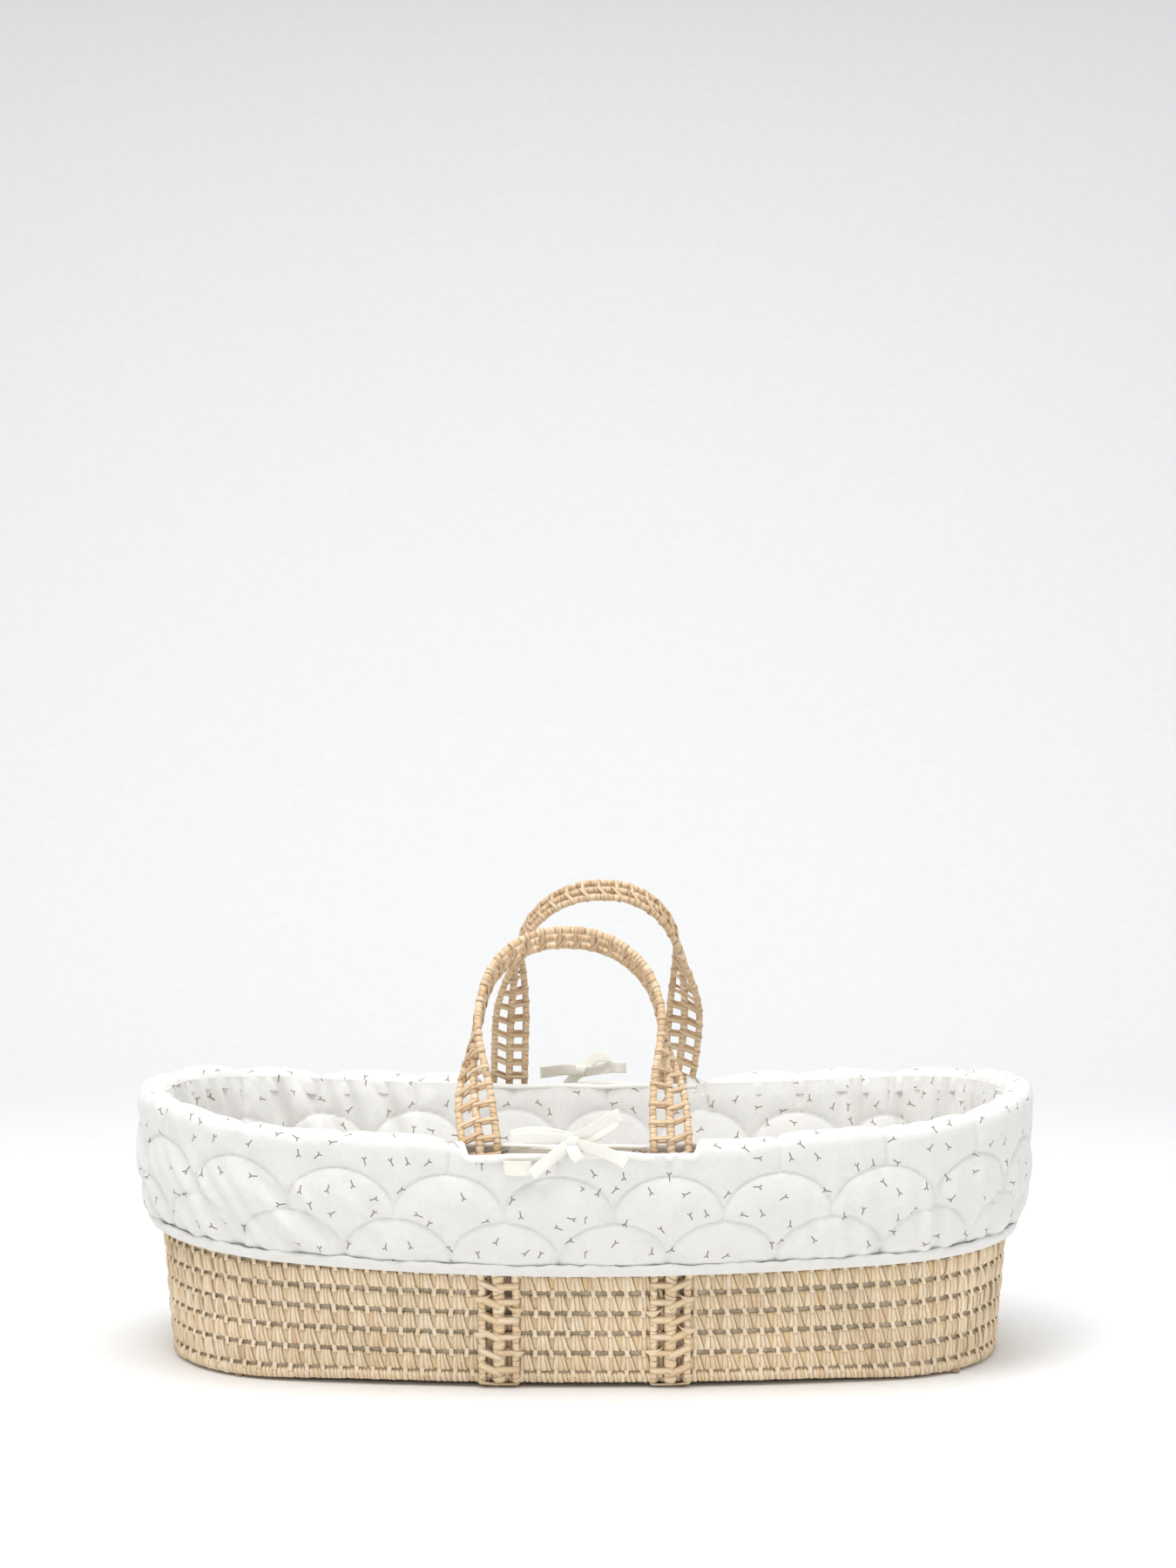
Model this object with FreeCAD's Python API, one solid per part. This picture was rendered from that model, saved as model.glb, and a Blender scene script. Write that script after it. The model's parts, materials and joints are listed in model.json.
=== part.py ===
import FreeCAD, Part
import math
import os

from FreeCAD import Vector

# Moses basket: a coiled palm-leaf basket with a padded fabric liner and two carrying handles.
# Millimetres. +X is the long way, -Y the front, +Z up. The origin is under the middle, on the floor.

# ---------------------------------------------------------------- driving dimensions
# Basket wall: an oval that opens out towards the rim
STRAP_THICKNESS = 5.7
BASE_LEVEL = STRAP_THICKNESS
BASE_HALF_LENGTH = 390.0
BASE_HALF_WIDTH = 171.0
WALL_TOP = 254.0
TOP_HALF_LENGTH = 411.0
TOP_HALF_WIDTH = 207.0
WALL_THICKNESS = 9.0
FIRST_ROW_TOP = 13.9
ROW_PITCH = 18.6
ROW_COUNT = 12
FOOT_ROUNDING = 12.0
FOOT_SLOPE_TOP = 16.7
FOOT_ROW_WIDTH = 22.0
END_RISE = 0.10
BASE_MAT_THICKNESS = 9.5

# Every oval is eight tangent arcs: two ends, four corners and two sides
CORNER_START = 40.0
SIDE_START = 79.0
CORNER_RADIUS_SHARE = 0.8

# Straps: two go under the basket and up its sides, two more only stiffen the underside
STRAP_WIDTH = 37.0
SIDE_STRAP_X = 77.0
FOOT_STRAPS = (("left", -300.0, 124.0), ("right", 326.0, 112.0))
STRAP_BEND = 14.0
STRAP_SETBACK = 1.0
STRAP_TOP = 214.0
LASHING_WIDTH = 4.0
LASHING_THICKNESS = 1.2
LASHING_LEVELS = (85.0, 71.0, 50.0, 31.0)
LASHING_REACH = 16.0

# Liner: skirt outside, lining inside, both 5 to 7 mm of quilted muslin
HEM_LEVEL = 107.5
CREST_UNDERSIDE = 220.0
CREST_LEVEL = 230.0
SKIRT_OUTSIDE = ((104.0, 402.0, 196.8), (141.0, 418.0, 209.5), (204.0, 425.0, 219.5),
                 (262.0, 425.0, 223.5))
SKIRT_INSIDE = ((104.0, 399.0, 193.1), (141.0, 411.0, 203.0), (204.0, 418.0, 212.5),
                (262.0, 418.0, 216.5))
LINING_GAP = 0.8
LINING_THICKNESS = 5.0
LINER_FLOOR_THICKNESS = 4.0
HEM_BINDING_HEIGHT = 9.5
BINDING_THICKNESS = 1.2
SLOT_LEFT = -118.0
SLOT_RIGHT = 112.0
SLOT_EDGE_LEVEL = 219.0
SLOT_INNER_Y = 100.0
BINDING_HEIGHT = 5.0
INNER_BINDING_HEIGHT = 4.0

# Ties and label
TAPE_WIDTH = 11.0
TAPE_THICKNESS = 1.2
KNOT_SIZE = (15.0, 10.0, 16.0)
KNOT_ROUNDING = 3.0
KNOT_CENTRE = (-11.0, -218.0, 232.0)
FRONT_LEFT_LOOP = 45.0
BACK_LEFT_LOOP = 30.0
LEFT_LOOP_GAP = 3.0
LEFT_LOOP_TURN = 5.0
LEFT_LOOP_RISE = 2.0
LEFT_LOOP_CLEARANCE = 0.6
RIGHT_LOOP = 38.0
RIGHT_LOOP_GAP = 7.0
RIGHT_LOOP_TURN = -24.0
RIGHT_LOOP_RISE = 4.0
RIGHT_LOOP_CLEARANCE = 2.6
TAILS = ((-1, 26.0, 142.0), (1, 28.0, 28.0))
TAIL_SPREAD = 4.0
TAIL_DROP = 3.0
TAIL_CLEARANCE = 0.4
LABEL_SIZE = (25.0, 0.8, 13.0)
LABEL_CORNER = (-72.0, -222.6, 202.0)

# Mattress
MATTRESS_HALF_LENGTH = 371.0
MATTRESS_HALF_WIDTH = 149.0
MATTRESS_THICKNESS = 41.5
COVER_THICKNESS = 1.75
MATTRESS_GAP = 0.3

# Handles: a strap of two wrapped edge cords and a middle braid, twisted a quarter turn at the crown
PIVOT_Y = 200.0
PIVOT_Z = 226.0
# lean, stretch of the line's height, level where the twist starts and length of the twist
FRONT_HANDLE = (32.0, 1.0, 5.0, 125.0)
BACK_HANDLE = (22.0, 1.055, 40.0, 135.0)
HANDLE_LINE = ((-93, 0), (-98, 40), (-100, 80), (-97, 120), (-88, 160), (-70, 186), (-45, 201),
               (-20, 205), (8, 202), (35, 189), (56, 166), (67, 138), (72, 100), (75, 60), (77, 0))
EDGE_CORD_OFFSET = 15.5
EDGE_CORD_DIAMETER = 6.5
BRAID_DIAMETER = 8.5
LINK_PITCH = 16.0
LINK_DIAMETER = 3.6
LINK_SLANT = 0.3
CORD_BEND_SHARE = 0.45

# Cutting blocks that are larger than the basket
SPAN = 440.0
NEAR_FLOOR = 0.1
FAR_BELOW = -50.0
FAR_ABOVE = 400.0


def save(shape, node):
    """Write one node's solids to its own file."""
    shape.exportStep(os.path.join("parts", node + ".step"))


# ---------------------------------------------------------------- ovals, shells and saddles
def oval_wire(half_length, half_width, level, offset=0.0):
    """Closed outline of eight tangent arcs, moved outwards by offset."""
    side, corner = math.radians(SIDE_START), math.radians(CORNER_START)
    r_corner = CORNER_RADIUS_SHARE * half_width
    # The end and side radii follow from the oval's reach along X and along Y.
    m00, m01 = math.cos(side), 1 - math.cos(corner)
    m10, m11 = 1 - math.sin(side), math.sin(corner)
    reach_x = half_length - r_corner * (math.cos(corner) - math.cos(side))
    reach_y = half_width - r_corner * (math.sin(side) - math.sin(corner))
    det = m00 * m11 - m01 * m10
    r_side = (reach_x * m11 - m01 * reach_y) / det
    r_end = (m00 * reach_y - m10 * reach_x) / det
    end_centre = (half_length - r_end, 0.0)
    side_centre = (0.0, half_width - r_side)
    corner_centre = (end_centre[0] + (r_end - r_corner) * math.cos(corner),
                     (r_end - r_corner) * math.sin(corner))

    def point(angle):
        """Point of the first quarter whose outward normal is at this angle."""
        if angle <= corner:
            centre, radius = end_centre, r_end
        elif angle <= side:
            centre, radius = corner_centre, r_corner
        else:
            centre, radius = side_centre, r_side
        reach = radius + offset
        return centre[0] + reach * math.cos(angle), centre[1] + reach * math.sin(angle)

    def arc(first, middle, last, flip_x, flip_y):
        ends = []
        for angle in (first, middle, last):
            x, y = point(angle)
            ends.append(Vector(flip_x * x, flip_y * y, level))
        return Part.Arc(*ends).toShape()

    # The end and side arcs cross an axis, so their three points come from two quarters.
    def end_arc(flip):
        x, y = point(corner)
        tip = point(0.0)[0]
        points = (Vector(flip * x, -flip * y, level), Vector(flip * tip, 0, level),
                  Vector(flip * x, flip * y, level))
        return Part.Arc(*points).toShape()

    def side_arc(flip):
        x, y = point(side)
        top = point(math.pi / 2)[1]
        points = (Vector(flip * x, flip * y, level), Vector(0, flip * top, level),
                  Vector(-flip * x, flip * y, level))
        return Part.Arc(*points).toShape()

    middle = (corner + side) / 2
    edges = [end_arc(1), arc(corner, middle, side, 1, 1), side_arc(1),
             arc(side, middle, corner, -1, 1), end_arc(-1), arc(corner, middle, side, -1, -1),
             side_arc(-1), arc(side, middle, corner, 1, -1)]
    return Part.Wire(edges)


def loft(sections, offset=0.0):
    """Solid through level ovals, each given as (level, half length, half width)."""
    wires = [oval_wire(length, width, level, offset) for level, length, width in sections]
    return Part.makeLoft(wires, True, True)


def wall_section(level):
    """The wall's outer oval at one level."""
    share = (level - BASE_LEVEL) / (WALL_TOP - BASE_LEVEL)
    return (level,
            BASE_HALF_LENGTH + share * (TOP_HALF_LENGTH - BASE_HALF_LENGTH),
            BASE_HALF_WIDTH + share * (TOP_HALF_WIDTH - BASE_HALF_WIDTH))


def plate(half_length, half_width, low, high, offset=0.0):
    """Flat oval plate."""
    face = Part.Face(oval_wire(half_length, half_width, low, offset))
    return face.extrude(Vector(0, 0, high - low))


def saddle_arc(level):
    """Arc in the XZ plane that is at this level in the middle and higher at both ends."""
    end_level = level * (1 + END_RISE * (SPAN / TOP_HALF_LENGTH) ** 2)
    return Part.Arc(Vector(SPAN, 0, end_level), Vector(0, 0, level), Vector(-SPAN, 0, end_level))


def saddle_slab(low, high):
    """Block between two saddle surfaces, as wide as the whole basket."""
    bottom, top = saddle_arc(low), saddle_arc(high)
    right = Part.LineSegment(bottom.StartPoint, top.StartPoint)
    left = Part.LineSegment(bottom.EndPoint, top.EndPoint)
    outline = Part.Wire(Part.__sortEdges__([s.toShape() for s in (bottom, right, top, left)]))
    face = Part.Face(outline)
    face.translate(Vector(0, -SPAN, 0))
    return face.extrude(Vector(0, 2 * SPAN, 0))


def block(low, high):
    """Box from its lowest corner to its highest corner."""
    size = [high[i] - low[i] for i in range(3)]
    return Part.makeBox(*size, Vector(*low))


# ---------------------------------------------------------------- palm basket
def build_base_mat():
    """Woven oval floor inside the lowest row."""
    section = wall_section(BASE_LEVEL)
    return plate(section[1], section[2], BASE_LEVEL, BASE_LEVEL + BASE_MAT_THICKNESS,
                 -FOOT_ROW_WIDTH)


def build_corner_row():
    """Lowest row, which turns the corner from the floor into the wall."""
    low, high = wall_section(BASE_LEVEL), wall_section(FIRST_ROW_TOP)
    outside = Part.makeLoft([oval_wire(low[1], low[2], BASE_LEVEL, -FOOT_ROUNDING),
                             oval_wire(high[1], high[2], FOOT_SLOPE_TOP)], True, True)
    inside = plate(low[1], low[2], FAR_BELOW, FAR_ABOVE, -FOOT_ROW_WIDTH)
    under = saddle_slab(NEAR_FLOOR, FIRST_ROW_TOP)
    return outside.cut(inside).common(under)


def build_wall_rows():
    """Rows of the wall, each between two saddle surfaces."""
    ends = (wall_section(BASE_LEVEL), wall_section(WALL_TOP))
    shell = loft(ends).cut(loft(ends, -WALL_THICKNESS))
    rows = [build_corner_row()]
    for row in range(ROW_COUNT - 1):
        low = FIRST_ROW_TOP + row * ROW_PITCH
        rows.append(shell.common(saddle_slab(low, low + ROW_PITCH)))
    return rows


def strap_face_y(level):
    """Distance from the middle plane to a side strap's inner face."""
    return wall_section(level)[2] - STRAP_SETBACK


def build_side_strap(x):
    """Strap that runs up the front, from under the basket, and up the back."""
    foot, top = strap_face_y(BASE_LEVEL + STRAP_BEND), strap_face_y(STRAP_TOP)
    thick = STRAP_THICKNESS
    bend = STRAP_BEND

    def half(inner):
        """Right half of a U: straight underside, round bend, straight side."""
        grow = 0.0 if inner else thick
        level = BASE_LEVEL - grow
        before = Vector(0, foot - bend, level)
        middle = Vector(0, foot - bend + (bend + grow) * math.sin(math.radians(45)),
                        BASE_LEVEL + bend - (bend + grow) * math.cos(math.radians(45)))
        after = Vector(0, foot + grow, BASE_LEVEL + bend)
        end = Vector(0, top + grow, STRAP_TOP)
        return before, middle, after, end

    def mirrored(v):
        return Vector(0, -v.y, v.z)

    edges = []
    for inner in (True, False):
        before, middle, after, end = half(inner)
        edges.append(Part.LineSegment(mirrored(before), before).toShape())
        for way in (lambda v: v, mirrored):
            edges.append(Part.Arc(way(before), way(middle), way(after)).toShape())
            edges.append(Part.LineSegment(way(after), way(end)).toShape())
    inner_end, outer_end = half(True)[3], half(False)[3]
    edges.append(Part.LineSegment(inner_end, outer_end).toShape())
    edges.append(Part.LineSegment(mirrored(inner_end), mirrored(outer_end)).toShape())
    face = Part.Face(Part.Wire(Part.__sortEdges__(edges)))
    face.translate(Vector(x - STRAP_WIDTH / 2, 0, 0))
    return face.extrude(Vector(STRAP_WIDTH, 0, 0))


def build_foot_strap(x, half_length):
    """Flat strap across the underside near one end."""
    low = (x - STRAP_WIDTH / 2, -half_length, 0)
    return block(low, (x + STRAP_WIDTH / 2, half_length, STRAP_THICKNESS))


def build_lashing(x, mirror_x):
    """Pale strip that zigzags down the front face of one side strap."""
    low, high = LASHING_LEVELS[-1], LASHING_LEVELS[0]
    slope = math.atan2(strap_face_y(high) - strap_face_y(low), high - low)
    rise = Vector(0, 0, LASHING_WIDTH / 2)
    turns = [Vector(x + mirror_x * LASHING_REACH * (-1) ** i, 0, level)
             for i, level in enumerate(LASHING_LEVELS)]
    runs = []
    for start, end in zip(turns, turns[1:]):
        outline = [start - rise, end - rise, end + rise, start + rise, start - rise]
        runs.append(Part.Face(Part.makePolygon(outline)).extrude(Vector(0, -LASHING_THICKNESS, 0)))
    solid = runs[0].multiFuse(runs[1:]).removeSplitter()
    solid.rotate(Vector(0, 0, low), Vector(1, 0, 0), math.degrees(slope))
    solid.translate(Vector(0, -strap_face_y(low) - STRAP_THICKNESS / math.cos(slope), 0))
    return solid


def build_lashings():
    """Four lashings: both straps, front and back."""
    front = [build_lashing(x, -math.copysign(1, x)) for x in (-SIDE_STRAP_X, SIDE_STRAP_X)]
    back = [solid.mirror(Vector(0, 0, 0), Vector(0, 1, 0)) for solid in front]
    return Part.makeCompound(front + back)


# ---------------------------------------------------------------- liner
def slot_window(flip, low, high):
    """Block over one slot, front (-1) or back (1, the front one turned about Z)."""
    x_low, x_high = (SLOT_LEFT, SLOT_RIGHT) if flip < 0 else (-SLOT_RIGHT, -SLOT_LEFT)
    y_near, y_far = flip * SLOT_INNER_Y, flip * SPAN
    return block((x_low, min(y_near, y_far), low), (x_high, max(y_near, y_far), high))


def build_skirt():
    """Quilted skirt outside the wall with the padded crest that folds over the rim."""
    outside = loft(SKIRT_OUTSIDE)
    skirt = outside.cut(loft(SKIRT_INSIDE)).common(saddle_slab(HEM_LEVEL, CREST_UNDERSIDE))
    ends = (wall_section(BASE_LEVEL), wall_section(WALL_TOP))
    lining_inside = loft(ends, -WALL_THICKNESS - LINING_GAP - LINING_THICKNESS)
    crest = outside.cut(lining_inside).common(saddle_slab(CREST_UNDERSIDE, CREST_LEVEL))
    slots = [slot_window(flip, SLOT_EDGE_LEVEL, FAR_ABOVE) for flip in (-1, 1)]
    return skirt.fuse(crest).cut(slots[0]).cut(slots[1]).removeSplitter()


def build_lining():
    """Quilted lining down the inside of the wall, from the crest to the liner's floor."""
    ends = (wall_section(BASE_LEVEL), wall_section(WALL_TOP))
    outside = loft(ends, -WALL_THICKNESS - LINING_GAP)
    inside = loft(ends, -WALL_THICKNESS - LINING_GAP - LINING_THICKNESS)
    floor_top = BASE_LEVEL + BASE_MAT_THICKNESS + LINER_FLOOR_THICKNESS
    below = block((-SPAN, -SPAN, FAR_BELOW), (SPAN, SPAN, floor_top))
    return outside.cut(inside).common(saddle_slab(NEAR_FLOOR, CREST_UNDERSIDE)).cut(below)


def build_liner_floor():
    """Flat fabric floor of the liner, on the base mat."""
    section = wall_section(BASE_LEVEL)
    low = BASE_LEVEL + BASE_MAT_THICKNESS
    return plate(section[1], section[2], low, low + LINER_FLOOR_THICKNESS,
                 -WALL_THICKNESS - LINING_GAP)


def build_hem_binding():
    """Flat band around the skirt's lower edge."""
    band = loft(SKIRT_OUTSIDE, BINDING_THICKNESS).cut(loft(SKIRT_OUTSIDE))
    return band.common(saddle_slab(HEM_LEVEL, HEM_LEVEL + HEM_BINDING_HEIGHT))


def build_slot_binding(flip):
    """Tape along both long edges of one slot: one on the skirt, one on top of the lining."""
    on_skirt = loft(SKIRT_OUTSIDE, BINDING_THICKNESS).cut(loft(SKIRT_OUTSIDE))
    on_skirt = on_skirt.common(slot_window(flip, SLOT_EDGE_LEVEL - BINDING_HEIGHT, SLOT_EDGE_LEVEL))
    ends = (wall_section(BASE_LEVEL), wall_section(WALL_TOP))
    lining_outside = loft(ends, -WALL_THICKNESS - LINING_GAP)
    lining_inside = loft(ends, -WALL_THICKNESS - LINING_GAP - LINING_THICKNESS)
    tape = saddle_slab(CREST_UNDERSIDE, CREST_UNDERSIDE + INNER_BINDING_HEIGHT)
    on_lining = lining_outside.cut(lining_inside).common(tape)
    return Part.makeCompound([on_skirt, on_lining.common(slot_window(flip, SLOT_EDGE_LEVEL, FAR_ABOVE))])


# ---------------------------------------------------------------- ties and label
def hairpin(length, gap):
    """Tape folded back on itself: two layers joined by a round end, along +X, standing in Z."""
    def stadium(radius):
        straight = block((0, -radius, 0), (length - radius, radius, TAPE_WIDTH))
        round_end = Part.makeCylinder(radius, TAPE_WIDTH, Vector(length - radius, 0, 0))
        return straight.fuse(round_end)
    outer = stadium(gap / 2 + TAPE_THICKNESS)
    inner = block((-gap, -gap / 2, 0), (length - gap / 2 - TAPE_THICKNESS, gap / 2, TAPE_WIDTH))
    inner = inner.fuse(Part.makeCylinder(gap / 2, TAPE_WIDTH,
                                         Vector(length - gap / 2 - TAPE_THICKNESS, 0, 0)))
    return outer.cut(inner).removeSplitter()


def build_tail(side, length, turn):
    """Flat tape end that leaves the knot's lower corner, turned about Y."""
    kx, ky, kz = KNOT_CENTRE
    half = [size / 2 for size in KNOT_SIZE]
    strip = block((0, 0, -TAPE_WIDTH / 2), (length, TAPE_THICKNESS, TAPE_WIDTH / 2))
    strip.rotate(Vector(0, 0, 0), Vector(0, 1, 0), turn)
    strip.translate(Vector(kx + side * (half[0] + TAIL_SPREAD), ky - half[1] - TAIL_CLEARANCE,
                           kz - half[2] - TAIL_DROP))
    return strip


def build_bow(left_length):
    """Front bow: a knot, two folded loops and two flat tails."""
    kx, ky, kz = KNOT_CENTRE
    half = [size / 2 for size in KNOT_SIZE]
    knot = block((kx - half[0], ky - half[1], kz - half[2]), (kx + half[0], ky + half[1], kz + half[2]))
    knot = knot.makeFillet(KNOT_ROUNDING, knot.Edges)

    left_loop = hairpin(left_length, LEFT_LOOP_GAP)
    left_loop.translate(Vector(0, 0, -TAPE_WIDTH / 2))
    left_loop.rotate(Vector(0, 0, 0), Vector(0, 0, 1), 180)
    left_loop.rotate(Vector(0, 0, 0), Vector(0, 1, 0), LEFT_LOOP_TURN)
    left_loop.translate(Vector(kx - half[0] - LEFT_LOOP_CLEARANCE, ky, kz + LEFT_LOOP_RISE))

    right_loop = hairpin(RIGHT_LOOP, RIGHT_LOOP_GAP)
    right_loop.translate(Vector(0, 0, -TAPE_WIDTH / 2))
    right_loop.rotate(Vector(0, 0, 0), Vector(1, 0, 0), 90)
    right_loop.rotate(Vector(0, 0, 0), Vector(0, 1, 0), RIGHT_LOOP_TURN)
    right_loop.translate(Vector(kx + half[0] + RIGHT_LOOP_CLEARANCE, ky, kz + RIGHT_LOOP_RISE))

    tails = [build_tail(*tail) for tail in TAILS]
    return knot, Part.makeCompound([left_loop, right_loop]), Part.makeCompound(tails)


def build_label():
    """Plain fabric tab below the front slot's edge."""
    low = LABEL_CORNER
    return block(low, tuple(low[i] + LABEL_SIZE[i] for i in range(3)))


# ---------------------------------------------------------------- mattress
def build_mattress():
    """Foam core and the zipped cover that closes all round it."""
    low = BASE_LEVEL + BASE_MAT_THICKNESS + LINER_FLOOR_THICKNESS + MATTRESS_GAP
    high = low + MATTRESS_THICKNESS
    outer = plate(MATTRESS_HALF_LENGTH, MATTRESS_HALF_WIDTH, low, high)
    core = plate(MATTRESS_HALF_LENGTH, MATTRESS_HALF_WIDTH, low + COVER_THICKNESS,
                 high - COVER_THICKNESS, -COVER_THICKNESS)
    return core, outer.cut(core)


# ---------------------------------------------------------------- handles
def tube(points, diameter):
    """Round cord along straight runs joined by tangent arcs."""
    edges = []
    start = points[0]
    for before, corner, after in zip(points, points[1:], points[2:]):
        back, ahead = (before - corner), (after - corner)
        cut = CORD_BEND_SHARE * min(back.Length, ahead.Length)
        back.normalize()
        ahead.normalize()
        half_turn = (math.pi - back.getAngle(ahead)) / 2
        radius = cut / math.tan(half_turn)
        bisector = (back + ahead).normalize()
        middle = corner + bisector * (radius / math.cos(half_turn) - radius)
        first, last = corner + back * cut, corner + ahead * cut
        edges.append(Part.LineSegment(start, first).toShape())
        edges.append(Part.Arc(first, middle, last).toShape())
        start = last
    edges.append(Part.LineSegment(start, points[-1]).toShape())
    path = Part.Wire(edges)
    profile = Part.Wire(Part.makeCircle(diameter / 2, points[0], points[1] - points[0]))
    solid = path.makePipeShell([profile], True, False)
    expected = math.pi * diameter ** 2 / 4 * path.Length
    print("cord", round(path.Length, 1), "mm, volume ratio", round(solid.Volume / expected, 4))
    return solid


def smoothstep(share):
    """0 to 1 with level ends."""
    share = min(max(share, 0.0), 1.0)
    return share * share * (3 - 2 * share)


def handle_lines(lean, stretch, twist_start, twist_length):
    """Paths of the braid and of the two edge cords, for a front handle leaning inwards."""
    tilt = math.radians(lean)
    line = [(u, v * stretch) for u, v in HANDLE_LINE]
    pivot = Vector(0, -PIVOT_Y, PIVOT_Z)
    across, up = Vector(1, 0, 0), Vector(0, math.sin(tilt), math.cos(tilt))
    outward = Vector(0, -math.cos(tilt), math.sin(tilt))
    last = len(line) - 1
    braid, inner, outer = [], [], []
    for i, (u, v) in enumerate(line):
        u0, v0 = line[max(i - 1, 0)]
        u1, v1 = line[min(i + 1, last)]
        if i in (0, last):
            u0, v0, u1, v1 = 0, 0, 0, (1 if i == 0 else -1)
        length = math.hypot(u1 - u0, v1 - v0)
        to_inside = across * ((v1 - v0) / length) - up * ((u1 - u0) / length)
        twist = math.pi / 2 * smoothstep((v - twist_start) / twist_length)
        width = to_inside * math.cos(twist) + outward * math.sin(twist)
        centre = pivot + across * u + up * v
        braid.append(centre)
        inner.append(centre + width * EDGE_CORD_OFFSET)
        outer.append(centre - width * EDGE_CORD_OFFSET)
    return braid, inner, outer


def along(points, lengths, distance):
    """Point at a distance along the first line's runs, in the same share of this line's run."""
    for i, length in enumerate(lengths):
        if distance <= length or i == len(lengths) - 1:
            return points[i] + (points[i + 1] - points[i]) * (distance / length)
        distance -= length


def build_links(braid, inner, outer):
    """Short leaf stitches that tie the braid to the edge cords, slanting by turns."""
    lengths = [(b - a).Length for a, b in zip(braid, braid[1:])]
    count = int(sum(lengths) / LINK_PITCH)
    links = []
    for i in range(1, count):
        place = i * LINK_PITCH
        for cord, shift in ((inner, LINK_SLANT), (outer, -LINK_SLANT)):
            start = along(braid, lengths, place + shift * LINK_PITCH)
            end = along(cord, lengths, place)
            links.append(Part.makeCylinder(LINK_DIAMETER / 2, (end - start).Length, start, end - start))
    return Part.makeCompound(links)


def save_handle(name, handle, turned):
    """Write the four nodes of one handle; the back handle is the front one turned about Z."""
    braid, inner, outer = handle_lines(*handle)
    pieces = {"braid": tube(braid, BRAID_DIAMETER),
              "inner_cord": tube(inner, EDGE_CORD_DIAMETER),
              "outer_cord": tube(outer, EDGE_CORD_DIAMETER),
              "links": build_links(braid, inner, outer)}
    for part_name, shape in pieces.items():
        if turned:
            shape.rotate(Vector(0, 0, 0), Vector(0, 0, 1), 180)
        save(shape, "%s_handle_%s" % (name, part_name))


# ---------------------------------------------------------------- write every node
os.makedirs("parts", exist_ok=True)

save(build_base_mat(), "base_mat")
for number, row in enumerate(build_wall_rows(), 1):
    save(row, "wall_row_%02d" % number)
for side, sign in (("left", -1), ("right", 1)):
    save(build_side_strap(sign * SIDE_STRAP_X), "side_strap_" + side)
for side, x, half_length in FOOT_STRAPS:
    save(build_foot_strap(x, half_length), "foot_strap_" + side)
save(build_lashings(), "strap_lashings")

save(build_skirt(), "liner_skirt")
save(build_lining(), "liner_lining")
save(build_liner_floor(), "liner_floor")
save(build_hem_binding(), "hem_binding")
for side, flip in (("front", -1), ("back", 1)):
    save(build_slot_binding(flip), side + "_slot_binding")

for bow_piece, shape in zip(("knot", "loops", "tails"), build_bow(FRONT_LEFT_LOOP)):
    save(shape, "front_bow_" + bow_piece)
for bow_piece, shape in zip(("knot", "loops", "tails"), build_bow(BACK_LEFT_LOOP)):
    save(shape.mirror(Vector(0, 0, 0), Vector(0, 1, 0)), "back_bow_" + bow_piece)
save(build_label(), "label_tab")

core, cover = build_mattress()
save(core, "mattress_core")
save(cover, "mattress_cover")

save_handle("front", FRONT_HANDLE, False)
save_handle("back", BACK_HANDLE, True)
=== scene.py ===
import json
import math

import bpy
import numpy as np
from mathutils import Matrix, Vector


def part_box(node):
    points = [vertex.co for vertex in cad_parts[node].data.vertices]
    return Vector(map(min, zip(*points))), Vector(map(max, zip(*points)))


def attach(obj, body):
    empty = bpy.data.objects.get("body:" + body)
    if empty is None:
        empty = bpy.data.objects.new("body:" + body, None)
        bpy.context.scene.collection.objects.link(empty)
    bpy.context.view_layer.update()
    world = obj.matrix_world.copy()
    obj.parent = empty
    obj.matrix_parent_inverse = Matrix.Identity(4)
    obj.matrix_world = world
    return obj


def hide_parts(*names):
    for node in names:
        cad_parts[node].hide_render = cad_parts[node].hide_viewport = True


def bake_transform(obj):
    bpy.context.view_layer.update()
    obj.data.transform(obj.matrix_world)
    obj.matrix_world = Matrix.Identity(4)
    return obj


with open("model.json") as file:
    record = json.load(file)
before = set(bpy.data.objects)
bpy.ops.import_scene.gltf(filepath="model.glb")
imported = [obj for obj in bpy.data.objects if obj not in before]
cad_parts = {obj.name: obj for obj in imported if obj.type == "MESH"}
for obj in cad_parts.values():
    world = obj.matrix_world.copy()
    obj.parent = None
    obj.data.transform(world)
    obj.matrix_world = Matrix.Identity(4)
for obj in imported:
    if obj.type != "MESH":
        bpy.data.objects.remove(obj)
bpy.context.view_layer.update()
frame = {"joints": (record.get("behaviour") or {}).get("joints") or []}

# Metres. +X is the long way, -Y the front, +Z up, with the origin on the floor under the middle.

# ---------------------------------------------------------------- the coiled palm wall
# The wall is one long coil. A core of loose palm leaf is wrapped with flat strips and laid round and
# round, and each round is sewn to the one below, which leaves a narrow dark gap between the rounds.
WALL_LOW, WALL_HIGH = 0.0057, 0.254
LOW_OVAL = np.array([0.390, 0.171])
HIGH_OVAL = np.array([0.411, 0.207])
END_RISE = 0.10
FIRST_ROW_TOP = 0.0139
ROW_PITCH = 0.0186
ROW_COUNT = 12
ROW_GAP = 0.0041
ROW_THICKNESS = 0.0076
STITCH_PITCH = 0.0152
CORNER_DROOP = 0.0020
HIDDEN_FROM_ROW = 8
ROW_GROOVE = 0.0010
LOW_ROW_HALF_THICKNESS, LOW_ROW_HALF_HEIGHT = 0.0095, 0.0050
LOW_ROW_DROP, LOW_ROW_OUT, LOW_ROW_GROOVE = 0.0004, -0.0092, 0.0012
END_TURN, SIDE_TURN = math.radians(40), math.radians(79)
CORNER_SHARE = 0.8
random = np.random.default_rng(41)


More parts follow.
